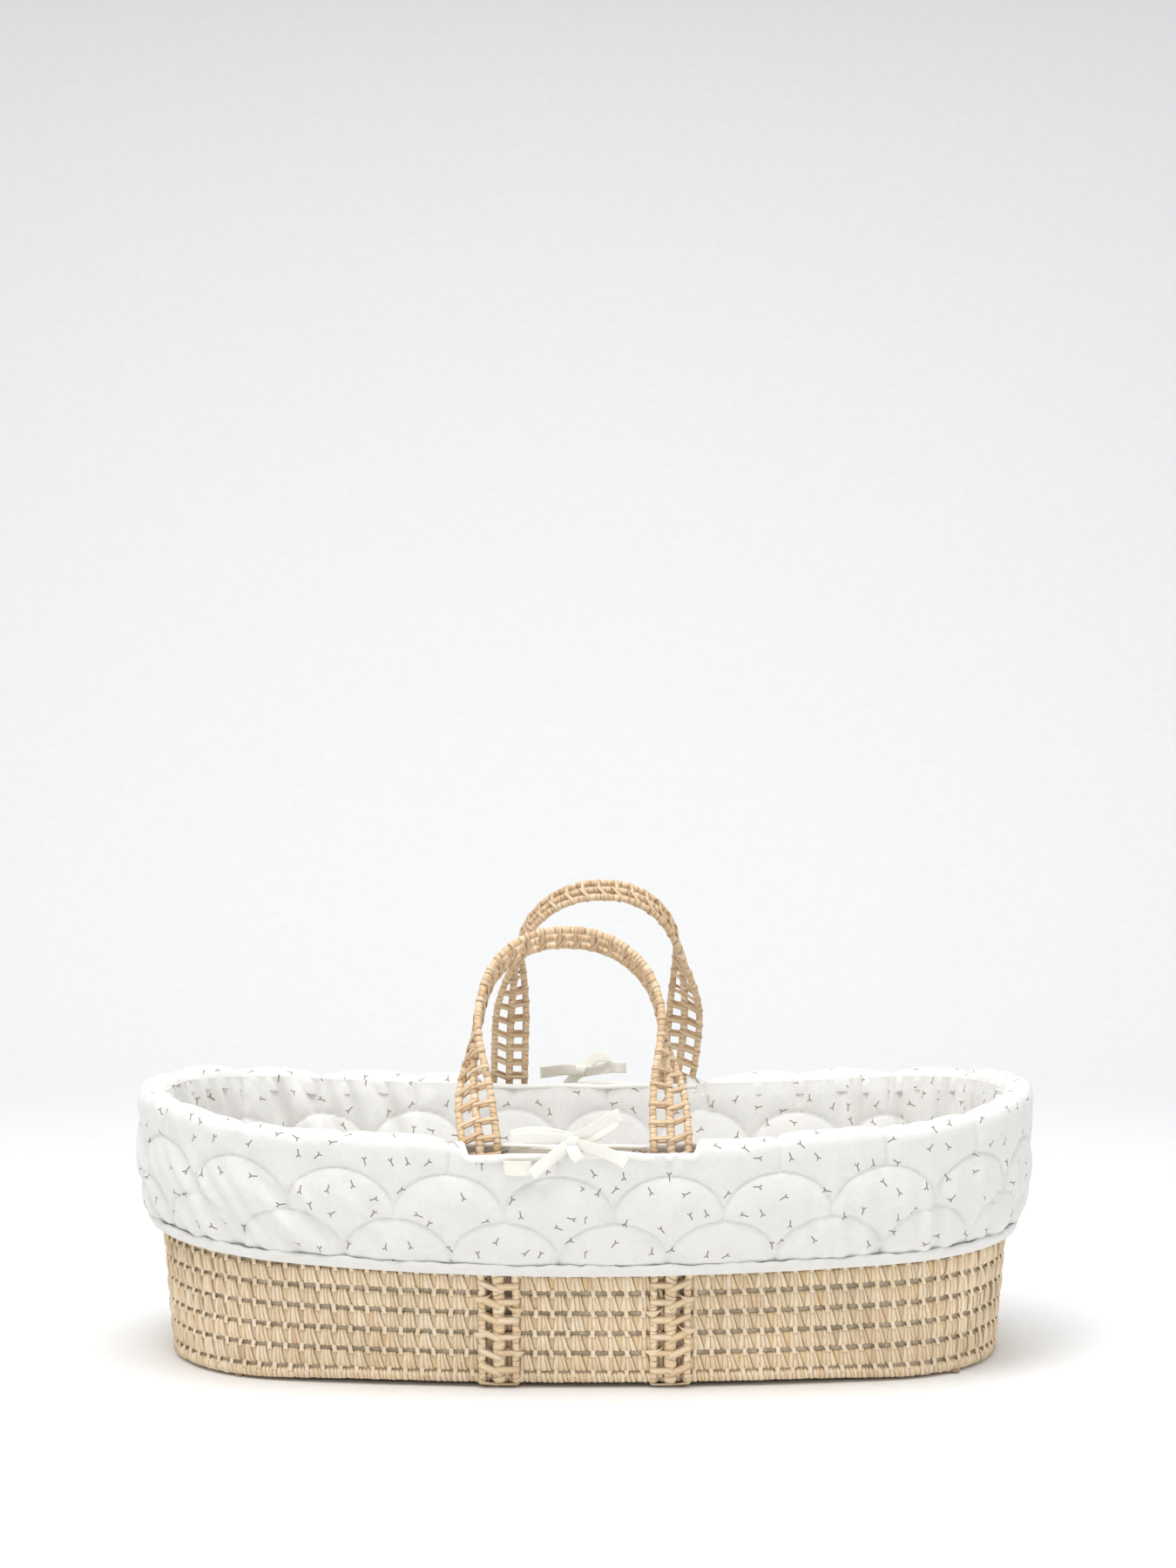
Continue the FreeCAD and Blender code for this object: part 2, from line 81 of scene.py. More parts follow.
def smooth(share):
    """0 to 1 with level ends: 3 t squared less 2 t cubed."""
    t = np.clip(share, 0, 1)
    return t * t * (3 - 2 * t)


def oval_radii(half_length, half_width):
    """Radii of the end, corner and side arcs that make an oval of this reach along X and along Y."""
    corner = CORNER_SHARE * half_width
    reach_x = half_length - corner * (math.cos(END_TURN) - math.cos(SIDE_TURN))
    reach_y = half_width - corner * (math.sin(SIDE_TURN) - math.sin(END_TURN))
    a, b = math.cos(SIDE_TURN), 1 - math.cos(END_TURN)
    c, d = 1 - math.sin(SIDE_TURN), math.sin(END_TURN)
    area = a * d - b * c
    return (a * reach_y - c * reach_x) / area, corner, (reach_x * d - b * reach_y) / area


def oval(half_length, half_width, turn, out=0.0):
    """X and Y of the point whose outward normal has this turn: its arc's centre plus the arc's radius
    and out along the normal."""
    end, corner, side = oval_radii(half_length, half_width)
    first = np.arctan2(np.abs(np.sin(turn)), np.abs(np.cos(turn)))
    on_end, on_side = first <= END_TURN, first > SIDE_TURN
    radius = np.where(on_end, end, np.where(on_side, side, corner))
    centre_x = np.where(on_end, half_length - end, half_length - end + (end - corner) * math.cos(END_TURN))
    centre_y = np.where(on_end, 0.0, (end - corner) * math.sin(END_TURN))
    centre_x = np.where(on_side, 0.0, centre_x)
    centre_y = np.where(on_side, half_width - side, centre_y)
    x = centre_x + (radius + out) * np.cos(first)
    y = centre_y + (radius + out) * np.sin(first)
    return np.copysign(x, np.cos(turn)), np.copysign(y, np.sin(turn))


def oval_way(half_length, half_width):
    """Turns at the arcs' ends, from the middle of the front once round to the right, and the way along
    the outline at each: every arc adds its radius times its turn. The way is 0 at the front's middle."""
    end, corner, side = oval_radii(half_length, half_width)
    quarter = math.pi / 2
    turns = np.array([-quarter, -SIDE_TURN, -END_TURN, END_TURN, SIDE_TURN, quarter])
    turns = np.concatenate([turns, 2 * quarter - turns[-2::-1]])
    radii = np.array([side, corner, end, corner, side, side, corner, end, corner, side])
    return turns, np.concatenate([[0], np.cumsum(radii * np.diff(turns))])


def turn_at(way, half_length, half_width):
    """Turn of the normal at a way along the outline, counted from the middle of the front."""
    turns, ways = oval_way(half_length, half_width)
    laps = np.floor(way / ways[-1])
    return np.interp(way - laps * ways[-1], ways, turns) + 2 * math.pi * laps


def saddle(level, x):
    """Height of a level line of the basket: it rises by a tenth from the middle to the ends."""
    return level * (1 + END_RISE * (x / HIGH_OVAL[0]) ** 2)


def wall_point(turn, level, out):
    """Point of the wall at a level line, moved out from its outer face."""
    share = (level - WALL_LOW) / (WALL_HIGH - WALL_LOW)
    size = [LOW_OVAL[k] + share * (HIGH_OVAL[k] - LOW_OVAL[k]) for k in (0, 1)]
    height = saddle(level, oval(size[0], size[1], turn)[0])
    share = (height - WALL_LOW) / (WALL_HIGH - WALL_LOW)
    size = [LOW_OVAL[k] + share * (HIGH_OVAL[k] - LOW_OVAL[k]) for k in (0, 1)]
    x, y = oval(size[0], size[1], turn, out)
    return np.stack([x, y, height + 0 * x], -1)


def rounded(count, half_width, half_height, power=0.55, start=0.0):
    """Round-cornered section: width times cos and height times sin of each angle, both to this power."""
    angle = start + np.arange(count) * 2 * math.pi / count
    c, s = np.cos(angle), np.sin(angle)
    return half_width * np.copysign(np.abs(c) ** power, c), half_height * np.copysign(np.abs(s) ** power, s)


def shell(points, ring=False, fibre="around", leaf=0.5, depth=0.0):
    """Skin over grids points[copy, along, around]. It is closed around, and along too in a ring, or else
    one flat cap closes each end. The uv map is in metres, across and then along the fibre."""
    points = np.asarray(points, float)
    points = points[None] if points.ndim == 3 else points
    copies, rows, columns, _ = points.shape
    i, j = np.meshgrid(np.arange(rows if ring else rows - 1), np.arange(columns), indexing="ij")
    corner_i = np.stack([i, i + 1, i + 1, i], -1).reshape(-1, 4)
    corner_j = np.stack([j, j, j + 1, j + 1], -1).reshape(-1, 4)
    offset = (np.arange(copies) * rows * columns)[:, None, None]
    quads = (corner_i % rows * columns + corner_j % columns)[None] + offset

    closed = np.concatenate([points, points[:, :1]], 1)
    step_along = np.linalg.norm(np.diff(closed, axis=1), axis=-1).mean(-1)
    closed = np.concatenate([points, points[:, :, :1]], 2)
    step_around = np.linalg.norm(np.diff(closed, axis=2), axis=-1).mean(1)
    along = np.concatenate([np.zeros((copies, 1)), np.cumsum(step_along, 1)], 1)
    around = np.concatenate([np.zeros((copies, 1)), np.cumsum(step_around, 1)], 1)
    uv = np.stack([along[:, corner_i], around[:, corner_j]], -1)
    if fibre == "along":
        uv = uv[..., ::-1]

    faces = i.size
    leaf = np.broadcast_to(np.asarray(leaf, float), (copies, rows if ring else rows - 1, columns))
    skin = {"points": points.reshape(-1, 3),
            "depth": np.broadcast_to(np.asarray(depth, float), points.shape[:3]).reshape(-1),
            "loops": [quads.reshape(-1)], "sizes": [np.full(copies * faces, 4)],
            "uv": [uv.reshape(-1, 2)], "leaf": [leaf.reshape(-1)]}
    if not ring:
        for row, order in ((0, np.arange(columns)), (rows - 1, np.arange(columns)[::-1])):
            skin["loops"].append((row * columns + order[None] + offset[:, 0]).reshape(-1))
            skin["sizes"].append(np.full(copies, columns))
            cap = np.stack([np.repeat(along[:, row, None], columns, 1), around[:, order]], -1)
            skin["uv"].append(cap.reshape(-1, 2))
            skin["leaf"].append(leaf[:, min(row, leaf.shape[1] - 1), 0])
    return skin


def piece(name, skins, material, uv=None):
    """One object from several skins. If the quads enclose a negative volume, every face is turned over."""
    skins = skins if isinstance(skins, list) else [skins]
    counts = np.cumsum([0] + [len(skin["points"]) for skin in skins])
    points = np.concatenate([skin["points"] for skin in skins])
    loops = np.concatenate([part + first for skin, first in zip(skins, counts) for part in skin["loops"]])
    sizes = np.concatenate([part for skin in skins for part in skin["sizes"]])
    maps = np.concatenate([part for skin in skins for part in skin["uv"]]) if uv is None else uv
    starts = np.concatenate([[0], np.cumsum(sizes)[:-1]])
    quad_starts = starts[sizes == 4]
    corners = [points[loops[quad_starts + k]] for k in range(4)]
    volume = (np.cross(corners[1] - corners[0], corners[2] - corners[0]) * corners[0]).sum()
    volume += (np.cross(corners[2] - corners[0], corners[3] - corners[0]) * corners[0]).sum()
    if volume < 0:
        order = np.repeat(2 * starts + sizes - 1, sizes) - np.arange(len(loops))
        loops, maps = loops[order], maps[order]

    mesh = bpy.data.meshes.new(name)
    mesh.vertices.add(len(points))
    mesh.vertices.foreach_set("co", points.astype(np.float32).ravel())
    mesh.loops.add(len(loops))
    mesh.loops.foreach_set("vertex_index", loops.astype(np.int32))
    mesh.polygons.add(len(sizes))
    mesh.polygons.foreach_set("loop_start", starts.astype(np.int32))
    mesh.polygons.foreach_set("loop_total", sizes.astype(np.int32))
    mesh.polygons.foreach_set("use_smooth", np.ones(len(sizes), bool))
    mesh.uv_layers.new(name="cloth").data.foreach_set("uv", maps.astype(np.float32).ravel())
    leaf = np.concatenate([part for skin in skins for part in skin["leaf"]])
    mesh.attributes.new("leaf", "FLOAT", "FACE").data.foreach_set("value", leaf.astype(np.float32))
    depth = np.concatenate([skin["depth"] for skin in skins])
    mesh.attributes.new("depth", "FLOAT", "POINT").data.foreach_set("value", depth.astype(np.float32))
    mesh.update(calc_edges=True)
    mesh.validate()
    made = bpy.data.objects.new(name, mesh)
    bpy.context.scene.collection.objects.link(made)
    made.data.materials.append(material)
    return made


def add(material, kind, inputs=None, **settings):
    """One shader node. Its inputs are values or other nodes' outputs, its settings its own properties."""
    made = material.node_tree.nodes.new(kind)
    for key, value in settings.items():
        setattr(made, key, value)
    for key, value in (inputs or {}).items():
        if isinstance(value, bpy.types.NodeSocket):
            material.node_tree.links.new(value, made.inputs[key])
        else:
            made.inputs[key].default_value = value
    return made


def ramp(material, factor, stops):
    """Colour ramp through (position, colour) stops."""
    made = add(material, "ShaderNodeValToRGB", {"Fac": factor})
    while len(made.color_ramp.elements) < len(stops):
        made.color_ramp.elements.new(0.5)
    for element, (position, colour) in zip(made.color_ramp.elements, stops):
        element.position = position
        element.color = (*colour, 1)
    return made.outputs["Color"]


def mix(material, factor, first, second, way="MIX"):
    """Mix of two colours."""
    inputs = {"Factor": factor, 6: first, 7: second}
    made = add(material, "ShaderNodeMix", inputs, data_type="RGBA", blend_type=way)
    return made.outputs[2]


def noise(material, vector, scale, detail, roughness=0.5):
    """Noise from 0 to 1 over a vector."""
    inputs = {"Vector": vector, "Scale": scale, "Detail": detail, "Roughness": roughness}
    return add(material, "ShaderNodeTexNoise", inputs).outputs["Fac"]


def work_out(material, operation, *values):
    """Result of one sum on values or other nodes' outputs."""
    return add(material, "ShaderNodeMath", dict(enumerate(values)), operation=operation).outputs[0]


def new_material(name, roughness, sheen=0.0):
    """Empty material and its shader."""
    material = bpy.data.materials.new(name)
    material.use_nodes = True
    shader = material.node_tree.nodes["Principled BSDF"]
    shader.inputs["Roughness"].default_value = roughness
    shader.inputs["Sheen Weight"].default_value = sheen
    return material, shader


def palm_leaf(name, stops, groove=(0.16, 0.085, 0.035)):
    """Dried palm leaf: a tone for each strip, fine fibres along it, painted dark brown shade in its grooves,
    satin.
    """
    material, shader = new_material(name, 0.62)
    leaf = add(material, "ShaderNodeAttribute", attribute_name="leaf").outputs["Fac"]
    depth = add(material, "ShaderNodeAttribute", attribute_name="depth").outputs["Fac"]
    cloth = add(material, "ShaderNodeUVMap", uv_map="cloth").outputs["UV"]
    place = add(material, "ShaderNodeTexCoord").outputs["Object"]
    fine = add(material, "ShaderNodeMapping", {"Vector": cloth, "Scale": (1500, 70, 1)}).outputs["Vector"]
    fibre = noise(material, fine, 1.0, 3.0, 0.6)
    broad = noise(material, place, 14.0, 3.0)
    spot = noise(material, place, 170.0, 2.0)
    colour = ramp(material, leaf, stops)
    streaks = ramp(material, fibre, ((0.30, (0.70, 0.62, 0.52)), (0.55, (1, 1, 1)),
                                     (0.8, (1.10, 1.08, 1.04))))
    colour = mix(material, 0.75, colour, streaks, "MULTIPLY")
    weather = ramp(material, broad, ((0.35, (0.88, 0.85, 0.80)), (0.65, (1.06, 1.03, 1.0))))
    colour = mix(material, 0.8, colour, weather, "MULTIPLY")
    stain = ramp(material, spot, ((0.62, (1, 1, 1)), (0.78, (0.74, 0.62, 0.48))))
    colour = mix(material, 0.6, colour, stain, "MULTIPLY")
    # Painted shade: the point attribute pulls the colour towards the dark groove colour in grooves, recesses
    # and a side strap's shadow.
    shade = add(material, "ShaderNodeMapRange", {"Value": depth, "To Max": 0.80},
                interpolation_type="SMOOTHSTEP").outputs["Result"]
    colour = mix(material, shade, colour, (*groove, 1))
    rough = add(material, "ShaderNodeMapRange", {"Value": fibre, "To Min": 0.72,
                                                 "To Max": 0.50}).outputs["Result"]
    bump = add(material, "ShaderNodeBump", {"Height": fibre, "Strength": 0.35, "Distance": 0.0005})
    links = material.node_tree.links
    links.new(colour, shader.inputs["Base Color"])
    links.new(rough, shader.inputs["Roughness"])
    links.new(bump.outputs["Normal"], shader.inputs["Normal"])
    return material


wall_leaf = palm_leaf("palm leaf", (
    (0.00, (0.72, 0.53, 0.35)), (0.12, (0.85, 0.67, 0.46)), (0.45, (0.92, 0.77, 0.56)),
    (0.75, (0.95, 0.82, 0.62)), (0.90, (0.96, 0.86, 0.69)), (1.00, (0.95, 0.73, 0.42))))


STRAP_SHADE_X, STRAP_SHADE_HALF = 0.077, 0.0165


def strap_shadow(points):
    """1 where a side strap lies over the wall, and 0 elsewhere: the mask of the strap's painted shadow on the
    leaf.
    """
    across = np.abs(np.abs(points[..., 0]) - STRAP_SHADE_X)
    return smooth((STRAP_SHADE_HALF - across) / 0.003)


def crowding(x):
    """0 along the sides to 1 at the ends, where the strips bunch up and stand rounder."""
    return smooth((np.abs(x) - 0.27) / 0.10)


def coiled_row(level, half_thickness, half_height, out, section_points, power, deep, fanned):
    """One round of the coil. Along it, every stitch gathers three strips, narrow at the top and wide at
    the bottom, with a deeper strip showing between two stitches. A strip is raised over its width, tilted
    a little, and drops into a groove at each edge."""
    share = (level - WALL_LOW) / (WALL_HIGH - WALL_LOW)
    size = LOW_OVAL + share * (HIGH_OVAL - LOW_OVAL)
    length = oval_way(*size)[1][-1]
    periods = round(length / STITCH_PITCH)
    first = np.arange(periods)[:, None]
    top = first + np.array([0.22, 0.41, 0.60, 0.78]) + random.normal(0, 0.025, (periods, 4))
    bottom = first + np.array([0.04, 0.36, 0.68, 0.97]) + random.normal(0, 0.035, (periods, 4)) + 0.10
    top = first + np.array([0.1, 0.37, 0.63, 0.9]) if not fanned else top
    strips = 4 * periods
    top, bottom = (np.append(line.ravel(), line.ravel()[0] + periods) for line in (top, bottom))
    steps = np.array([0.0, 0.16, 0.5, 0.84])
    edge = np.array([1.0, 0.0, 0.0, 0.0])
    top, bottom = ((line[:-1, None] + steps * np.diff(line)[:, None]).ravel() for line in (top, bottom))

    wedge = np.tile([0, 0, 0, 1], periods)
    lift = random.uniform(0.0, 0.0007, strips) - 0.0011 * wedge * fanned
    tilt = random.normal(0, 0.0005, strips)
    relief = (lift[:, None] + tilt[:, None] * (steps - 0.5) + 0.0003 * (1 - (2 * steps - 1) ** 2)).ravel()
    edges = np.tile(edge, strips)

    wide, high = rounded(section_points, half_thickness, half_height, power)
    sink = (0.5 - 0.5 * high / half_height)[None]
    way = (top[:, None] * (1 - sink) + bottom[:, None] * sink) * length / periods
    turn = turn_at(way, *size)
    crowd = crowding(oval(*size, turn)[0])
    grown = relief[:, None] * (1 + 0.9 * crowd) - edges[:, None] * (deep + 0.0008 * crowd)
    unit_wide, unit_high = wide / half_thickness, high / half_height
    where = out + wide + grown * unit_wide
    levels = level + high + 0.7 * grown * unit_high
    if not fanned:
        levels = levels - CORNER_DROOP * smooth((np.abs(oval(*size, turn)[0]) - 0.20) / 0.10)
    points = wall_point(turn, levels, where)
    leaf = np.clip(random.beta(2.2, 2.0, strips) * 0.92, 0, 0.92)
    yellow = (random.random(strips) < 0.55) * wedge
    leaf = np.where(yellow > 0, random.uniform(0.93, 1.0, strips), leaf * (1 - 0.45 * wedge))
    # Painted shade: dark in the groove at each strip's edge, darker where the strips crowd at the ends, a
    # little on the deeper strip between stitches, and the strap's painted shadow.
    depth = edges[:, None] * (0.55 + 0.35 * crowd) + 0.30 * np.repeat(wedge, 4)[:, None] * fanned
    leaf = np.repeat(leaf, 4)[:, None]
    depth = np.clip(depth + 0.55 * strap_shadow(points), 0, 1)
    return shell(points, ring=True, leaf=leaf, depth=depth), length, periods


rows = {}
for number in range(1, ROW_COUNT + 1):
    node = "wall_row_%02d" % number
    hidden = number >= HIDDEN_FROM_ROW
    if number == 1:
        middle = (WALL_LOW + FIRST_ROW_TOP) / 2 - LOW_ROW_DROP
        skin, length, periods = coiled_row(middle, LOW_ROW_HALF_THICKNESS, LOW_ROW_HALF_HEIGHT, LOW_ROW_OUT,
                                           14, 0.7, LOW_ROW_GROOVE, False)
    else:
        middle = FIRST_ROW_TOP + (number - 1.5) * ROW_PITCH
        half_height = (ROW_PITCH - ROW_GAP) / 2
        count = 8 if hidden else 14
        skin, length, periods = coiled_row(middle, ROW_THICKNESS / 2, half_height, -ROW_THICKNESS / 2,
                                           count, 0.6, ROW_GROOVE, True)
    rows[number] = (length, periods)
    row = piece("palm_" + node, skin, wall_leaf)
    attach(row, "basket")
    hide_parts(node)


# ---------------------------------------------------------------- the stitches between the rounds
# Every third or fourth strip is a stitch. It goes down through the round below and is folded over there,
# so a small knob of folded leaf bridges the gap above each fan of strips.
STITCH_WIDTH = 0.0068
STITCH_THICKNESS = 0.0016

for number in range(2, ROW_COUNT + 1):
    length, periods = rows[number - 1]
    gap_level = FIRST_ROW_TOP + (number - 2) * ROW_PITCH
    size = LOW_OVAL + (gap_level - WALL_LOW) / (WALL_HIGH - WALL_LOW) * (HIGH_OVAL - LOW_OVAL)
    along = np.linspace(0, 1, 7)
    way = (np.arange(periods) + 0.5 + random.normal(0, 0.03, periods)) * length / periods
    lean = random.uniform(-0.0004, 0.0014, periods)[:, None]
    reach = random.uniform(0.9, 1.2, periods)[:, None]
    slide = way[:, None] + lean * (0.5 - along) * 2
    rise = gap_level + (along - 0.50) * 0.0078 * reach
    out = 0.0009 * np.sin(math.pi * np.clip(along * 1.15, 0, 1)) - 0.0012 * along
    width = STITCH_WIDTH / 2 * (1.0 - 0.32 * np.sin(math.pi * along) - 0.12 * along)
    wide, thick = rounded(6, 1.0, STITCH_THICKNESS / 2, 0.9)
    shift = width[:, None] * wide
    turn = turn_at(slide[:, :, None] + shift[None], *size)
    droop = -0.0011 * (wide ** 2)[None, None] * np.ones_like(turn)
    points = wall_point(turn, rise[:, :, None] + droop * 0.6,
                        (out[None, :, None] + thick[None, None]) + 0.25 * droop)
    leaf = random.uniform(0.45, 0.9, periods)[:, None, None]
    # Painted shade, darkest at both ends of each stitch.
    dark = np.abs(2 * along - 1)[None, :, None] ** 3 * 0.55 + 0 * thick
    skin = shell(points, fibre="along", leaf=leaf, depth=dark)
    stitches = piece("palm_stitches_%02d" % number, skin, wall_leaf)
    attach(stitches, "basket")

# Behind each gap the loose core of the coil shows as a dull band.
core_leaf = palm_leaf("palm core", ((0.0, (0.36, 0.31, 0.24)), (0.5, (0.46, 0.41, 0.32)),
                                    (1.0, (0.54, 0.48, 0.38))), (0.30, 0.25, 0.19))
bands = []
for number in range(2, HIDDEN_FROM_ROW + 1):
    gap_level = FIRST_ROW_TOP + (number - 2) * ROW_PITCH
    size = LOW_OVAL + (gap_level - WALL_LOW) / (WALL_HIGH - WALL_LOW) * (HIGH_OVAL - LOW_OVAL)
    way = np.linspace(0, oval_way(*size)[1][-1], 420, endpoint=False)
    wide, tall = rounded(6, 0.0007, 0.0034, 0.7)
    turn = np.broadcast_to(turn_at(way, *size)[:, None], (len(way), 6))
    points = wall_point(turn, gap_level + tall[None] + 0 * turn,
                        wide[None] - 0.0036 + 0.0004 * np.sin(way * 140)[:, None])
    # The strap's painted shadow darkens the band where a side strap lies over the wall.
    bands.append(shell(points, ring=True, fibre="around", leaf=random.random((len(way), 1)),
                       depth=strap_shadow(points)))
core = piece("palm_core", bands, core_leaf)
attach(core, "basket")


# ---------------------------------------------------------------- the woven floor of the basket
# The floor is the start of the same coil: oval rounds of wrapped leaf, laid flat one inside another.
MAT_EDGE = 0.022
MAT_ROUNDS = 8
MAT_LOW, MAT_HIGH = (corner[2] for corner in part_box("base_mat"))

mat = []
for number in range(MAT_ROUNDS):
    size = LOW_OVAL - MAT_EDGE - (number + 0.5) * (LOW_OVAL[1] - MAT_EDGE) / MAT_ROUNDS
    length = oval_way(*size)[1][-1]
    strips = round(length / (STITCH_PITCH / 2))
    steps = np.array([0.0, 0.2, 0.8])
    way = ((np.arange(strips)[:, None] + steps) * length / strips).ravel()
    relief = np.tile([-0.0008, 0.0, 0.0], strips)
    half_width = (LOW_OVAL[1] - MAT_EDGE) / MAT_ROUNDS / 2 - 0.0004
    wide, high = rounded(10, half_width, (MAT_HIGH - MAT_LOW) / 2 - 0.0006, 0.7)
    x, y = oval(*size, turn_at(way[:, None], *size), wide + relief[:, None] * 0.4)
    z = (MAT_LOW + MAT_HIGH) / 2 + high + relief[:, None] * np.sign(high)
    leaf = np.repeat(random.beta(2.2, 2.0, strips), 3)[:, None]
    # Painted shade in the pressed-in groove at the start of each strip.
    mat.append(shell(np.stack([x, y, z + 0 * x], -1), ring=True, leaf=leaf,
                     depth=0.7 * (relief < 0)[:, None]))
base_mat = piece("palm_base_mat", mat, wall_leaf)
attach(base_mat, "basket")
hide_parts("base_mat")


# ---------------------------------------------------------------- the side straps
# Each strap is two wrapped edge cords and a middle cord, tied side by side with leaf: straight rungs on
# one side and slanting ones on the other. It runs up the front, from under the floor, and up the back.
STRAP_BEND = 0.014
STRAP_HALF = 0.00285
STRAP_TOP = 0.214
STRAP_SETBACK = 0.001
STRAP_LIFT = 0.0010
STRAP_X_LOW, STRAP_X_HIGH = 0.077, 0.093
CORD_RADIUS = 0.0033
MIDDLE_RADIUS = 0.0056
WRAP_PITCH = 0.0056
RUNG_PITCH = 0.0158
MIDDLE_PITCH = 0.0085
WRAP_GROOVE = 0.00045
STRAP_EDGE = 0.0151
STRAP_RUNG_RADII = (0.0027, 0.0027)
STRAP_RUNG_SLANT = 0.0070
RUNG_WIDTH = 0.0066
RUNG_THICKNESS = 0.0009

strap_leaf = palm_leaf("palm strap leaf", (
    (0.00, (0.76, 0.55, 0.35)), (0.25, (0.87, 0.68, 0.45)), (0.60, (0.92, 0.76, 0.53)),
    (0.90, (0.95, 0.81, 0.61)), (1.00, (0.90, 0.66, 0.44))))


def unit(vectors):
    """Vectors of length one."""
    return vectors / np.maximum(np.linalg.norm(vectors, axis=-1, keepdims=True), 1e-12)


def way_along(line):
    """Distance along a line at each of its points."""
    return np.concatenate([[0], np.cumsum(np.linalg.norm(np.diff(line, axis=0), axis=1))])


def read_at(line, ways, at):
    """The line's values at distances along it."""
    return np.stack([np.interp(at, ways, line[:, k]) for k in range(3)], -1)


def wrapped_cord(line, side, radius, flat=1.0, pitch=WRAP_PITCH):
    """Cord wound with leaf. Along it the radius drops into a groove at the edge of every wrap, the wraps
    differ a little in height, and each is tilted, so its edge runs round the cord as a slight spiral."""
    ways = way_along(line)
    wraps = max(int(ways[-1] / pitch), 4)
    steps = np.array([0.0, 0.10, 0.30, 0.55, 0.80])
    place = ((np.arange(wraps)[:, None] + steps).ravel() / wraps) * ways[-1]
    place = np.append(place, ways[-1])
    groove = np.append(np.tile([1.0, 0.25, 0.0, 0.0, 0.15], wraps), 1.0)
    lift = np.append(np.repeat(random.uniform(-0.00010, 0.00016, wraps), 5), 0.0)
    angle = np.arange(12) * 2 * math.pi / 12
    slant = np.append(np.repeat(random.normal(0.0, 0.22, wraps), 5), 0.0)
    inside = smooth(np.minimum(place, ways[-1] - place) / (2 * pitch))
    at = place[:, None] + (pitch * (slant * inside)[:, None]) * np.cos(angle + 0.6)
    centre, across = read_at(line, ways, at), unit(read_at(side, ways, at))
    ahead = unit(read_at(line, ways, at + 1e-4) - read_at(line, ways, at - 1e-4))
    out = unit(np.cross(across, ahead))
    size = radius + lift[:, None] - WRAP_GROOVE * groove[:, None]
    points = centre + across * (size * np.cos(angle))[..., None]
    points = points + out * (size * flat * np.sin(angle))[..., None]
    leaf = np.repeat(random.beta(2.2, 2.2, wraps), 5)[:, None]
    # Painted shade in the groove at the edge of every wrap.
    return shell(points, leaf=leaf, depth=0.75 * groove[:, None] ** 2 * np.ones_like(at))


def rungs(first, second, radii, slant, width=RUNG_WIDTH):
    """Flat leaf strips, each wound once round two cords: a loop round both centres with its ribbon's
    width along the cords. slant shifts its two ends apart along the cords."""
    ways_1, ways_2 = way_along(first), way_along(second)
    count = int(ways_1[-1] / RUNG_PITCH)
    share = (np.arange(count) + 0.5 + random.normal(0, 0.05, count)) / count
    share = share[(share * ways_1[-1] > 0.004) & (share * ways_1[-1] < ways_1[-1] - 0.004)]
    count = len(share)
    at = share * ways_1[-1]
    a = read_at(first, ways_1, at + slant / 2)
    b = read_at(second, ways_2, share * ways_2[-1] - slant / 2)
    ahead = unit(read_at(first, ways_1, at + 1e-3) - read_at(first, ways_1, at - 1e-3))
    across = unit(b - a)
    up = unit(np.cross(across, ahead))
    flat_way = unit(np.cross(up, across))
    angle = np.concatenate([np.linspace(-90, 90, 6), np.linspace(90, 270, 6)]) * math.pi / 180
    far = np.repeat([1.0, 0.0], 6)
    centre = a[:, None] * (1 - far)[None, :, None] + b[:, None] * far[None, :, None]
    radius = np.where(far > 0, radii[1], radii[0])
    wide, thick = rounded(6, 1.0, 1.0, 0.5, math.pi / 6)
    half = width / 2 * random.uniform(0.8, 1.15, count)[:, None, None, None]
    reach = (radius[:, None] + RUNG_THICKNESS * 0.5 * (1 + thick))[None, :, :, None]
    spoke = (across[:, None] * np.cos(angle)[None, :, None] + up[:, None] * np.sin(angle)[None, :, None])
    points = centre[:, :, None] + spoke[:, :, None] * reach
    points = points + flat_way[:, None, None] * half * wide[None, None, :, None]
    leaf = random.beta(2.4, 2.0, count)[:, None, None]
    # Painted shade: a little over the whole strip and more along its two edges.
    dark = 0.06 + 0.38 * (np.abs(wide) > 0.5) * np.ones((count, 12, 6))
    return shell(points, ring=True, fibre="along", leaf=leaf, depth=dark)


def strap_face(level):
    """Distance from the middle plane to a side strap's inner face."""
    share = (level - WALL_LOW) / (WALL_HIGH - WALL_LOW)
    return LOW_OVAL[1] + share * (HIGH_OVAL[1] - LOW_OVAL[1]) - STRAP_SETBACK


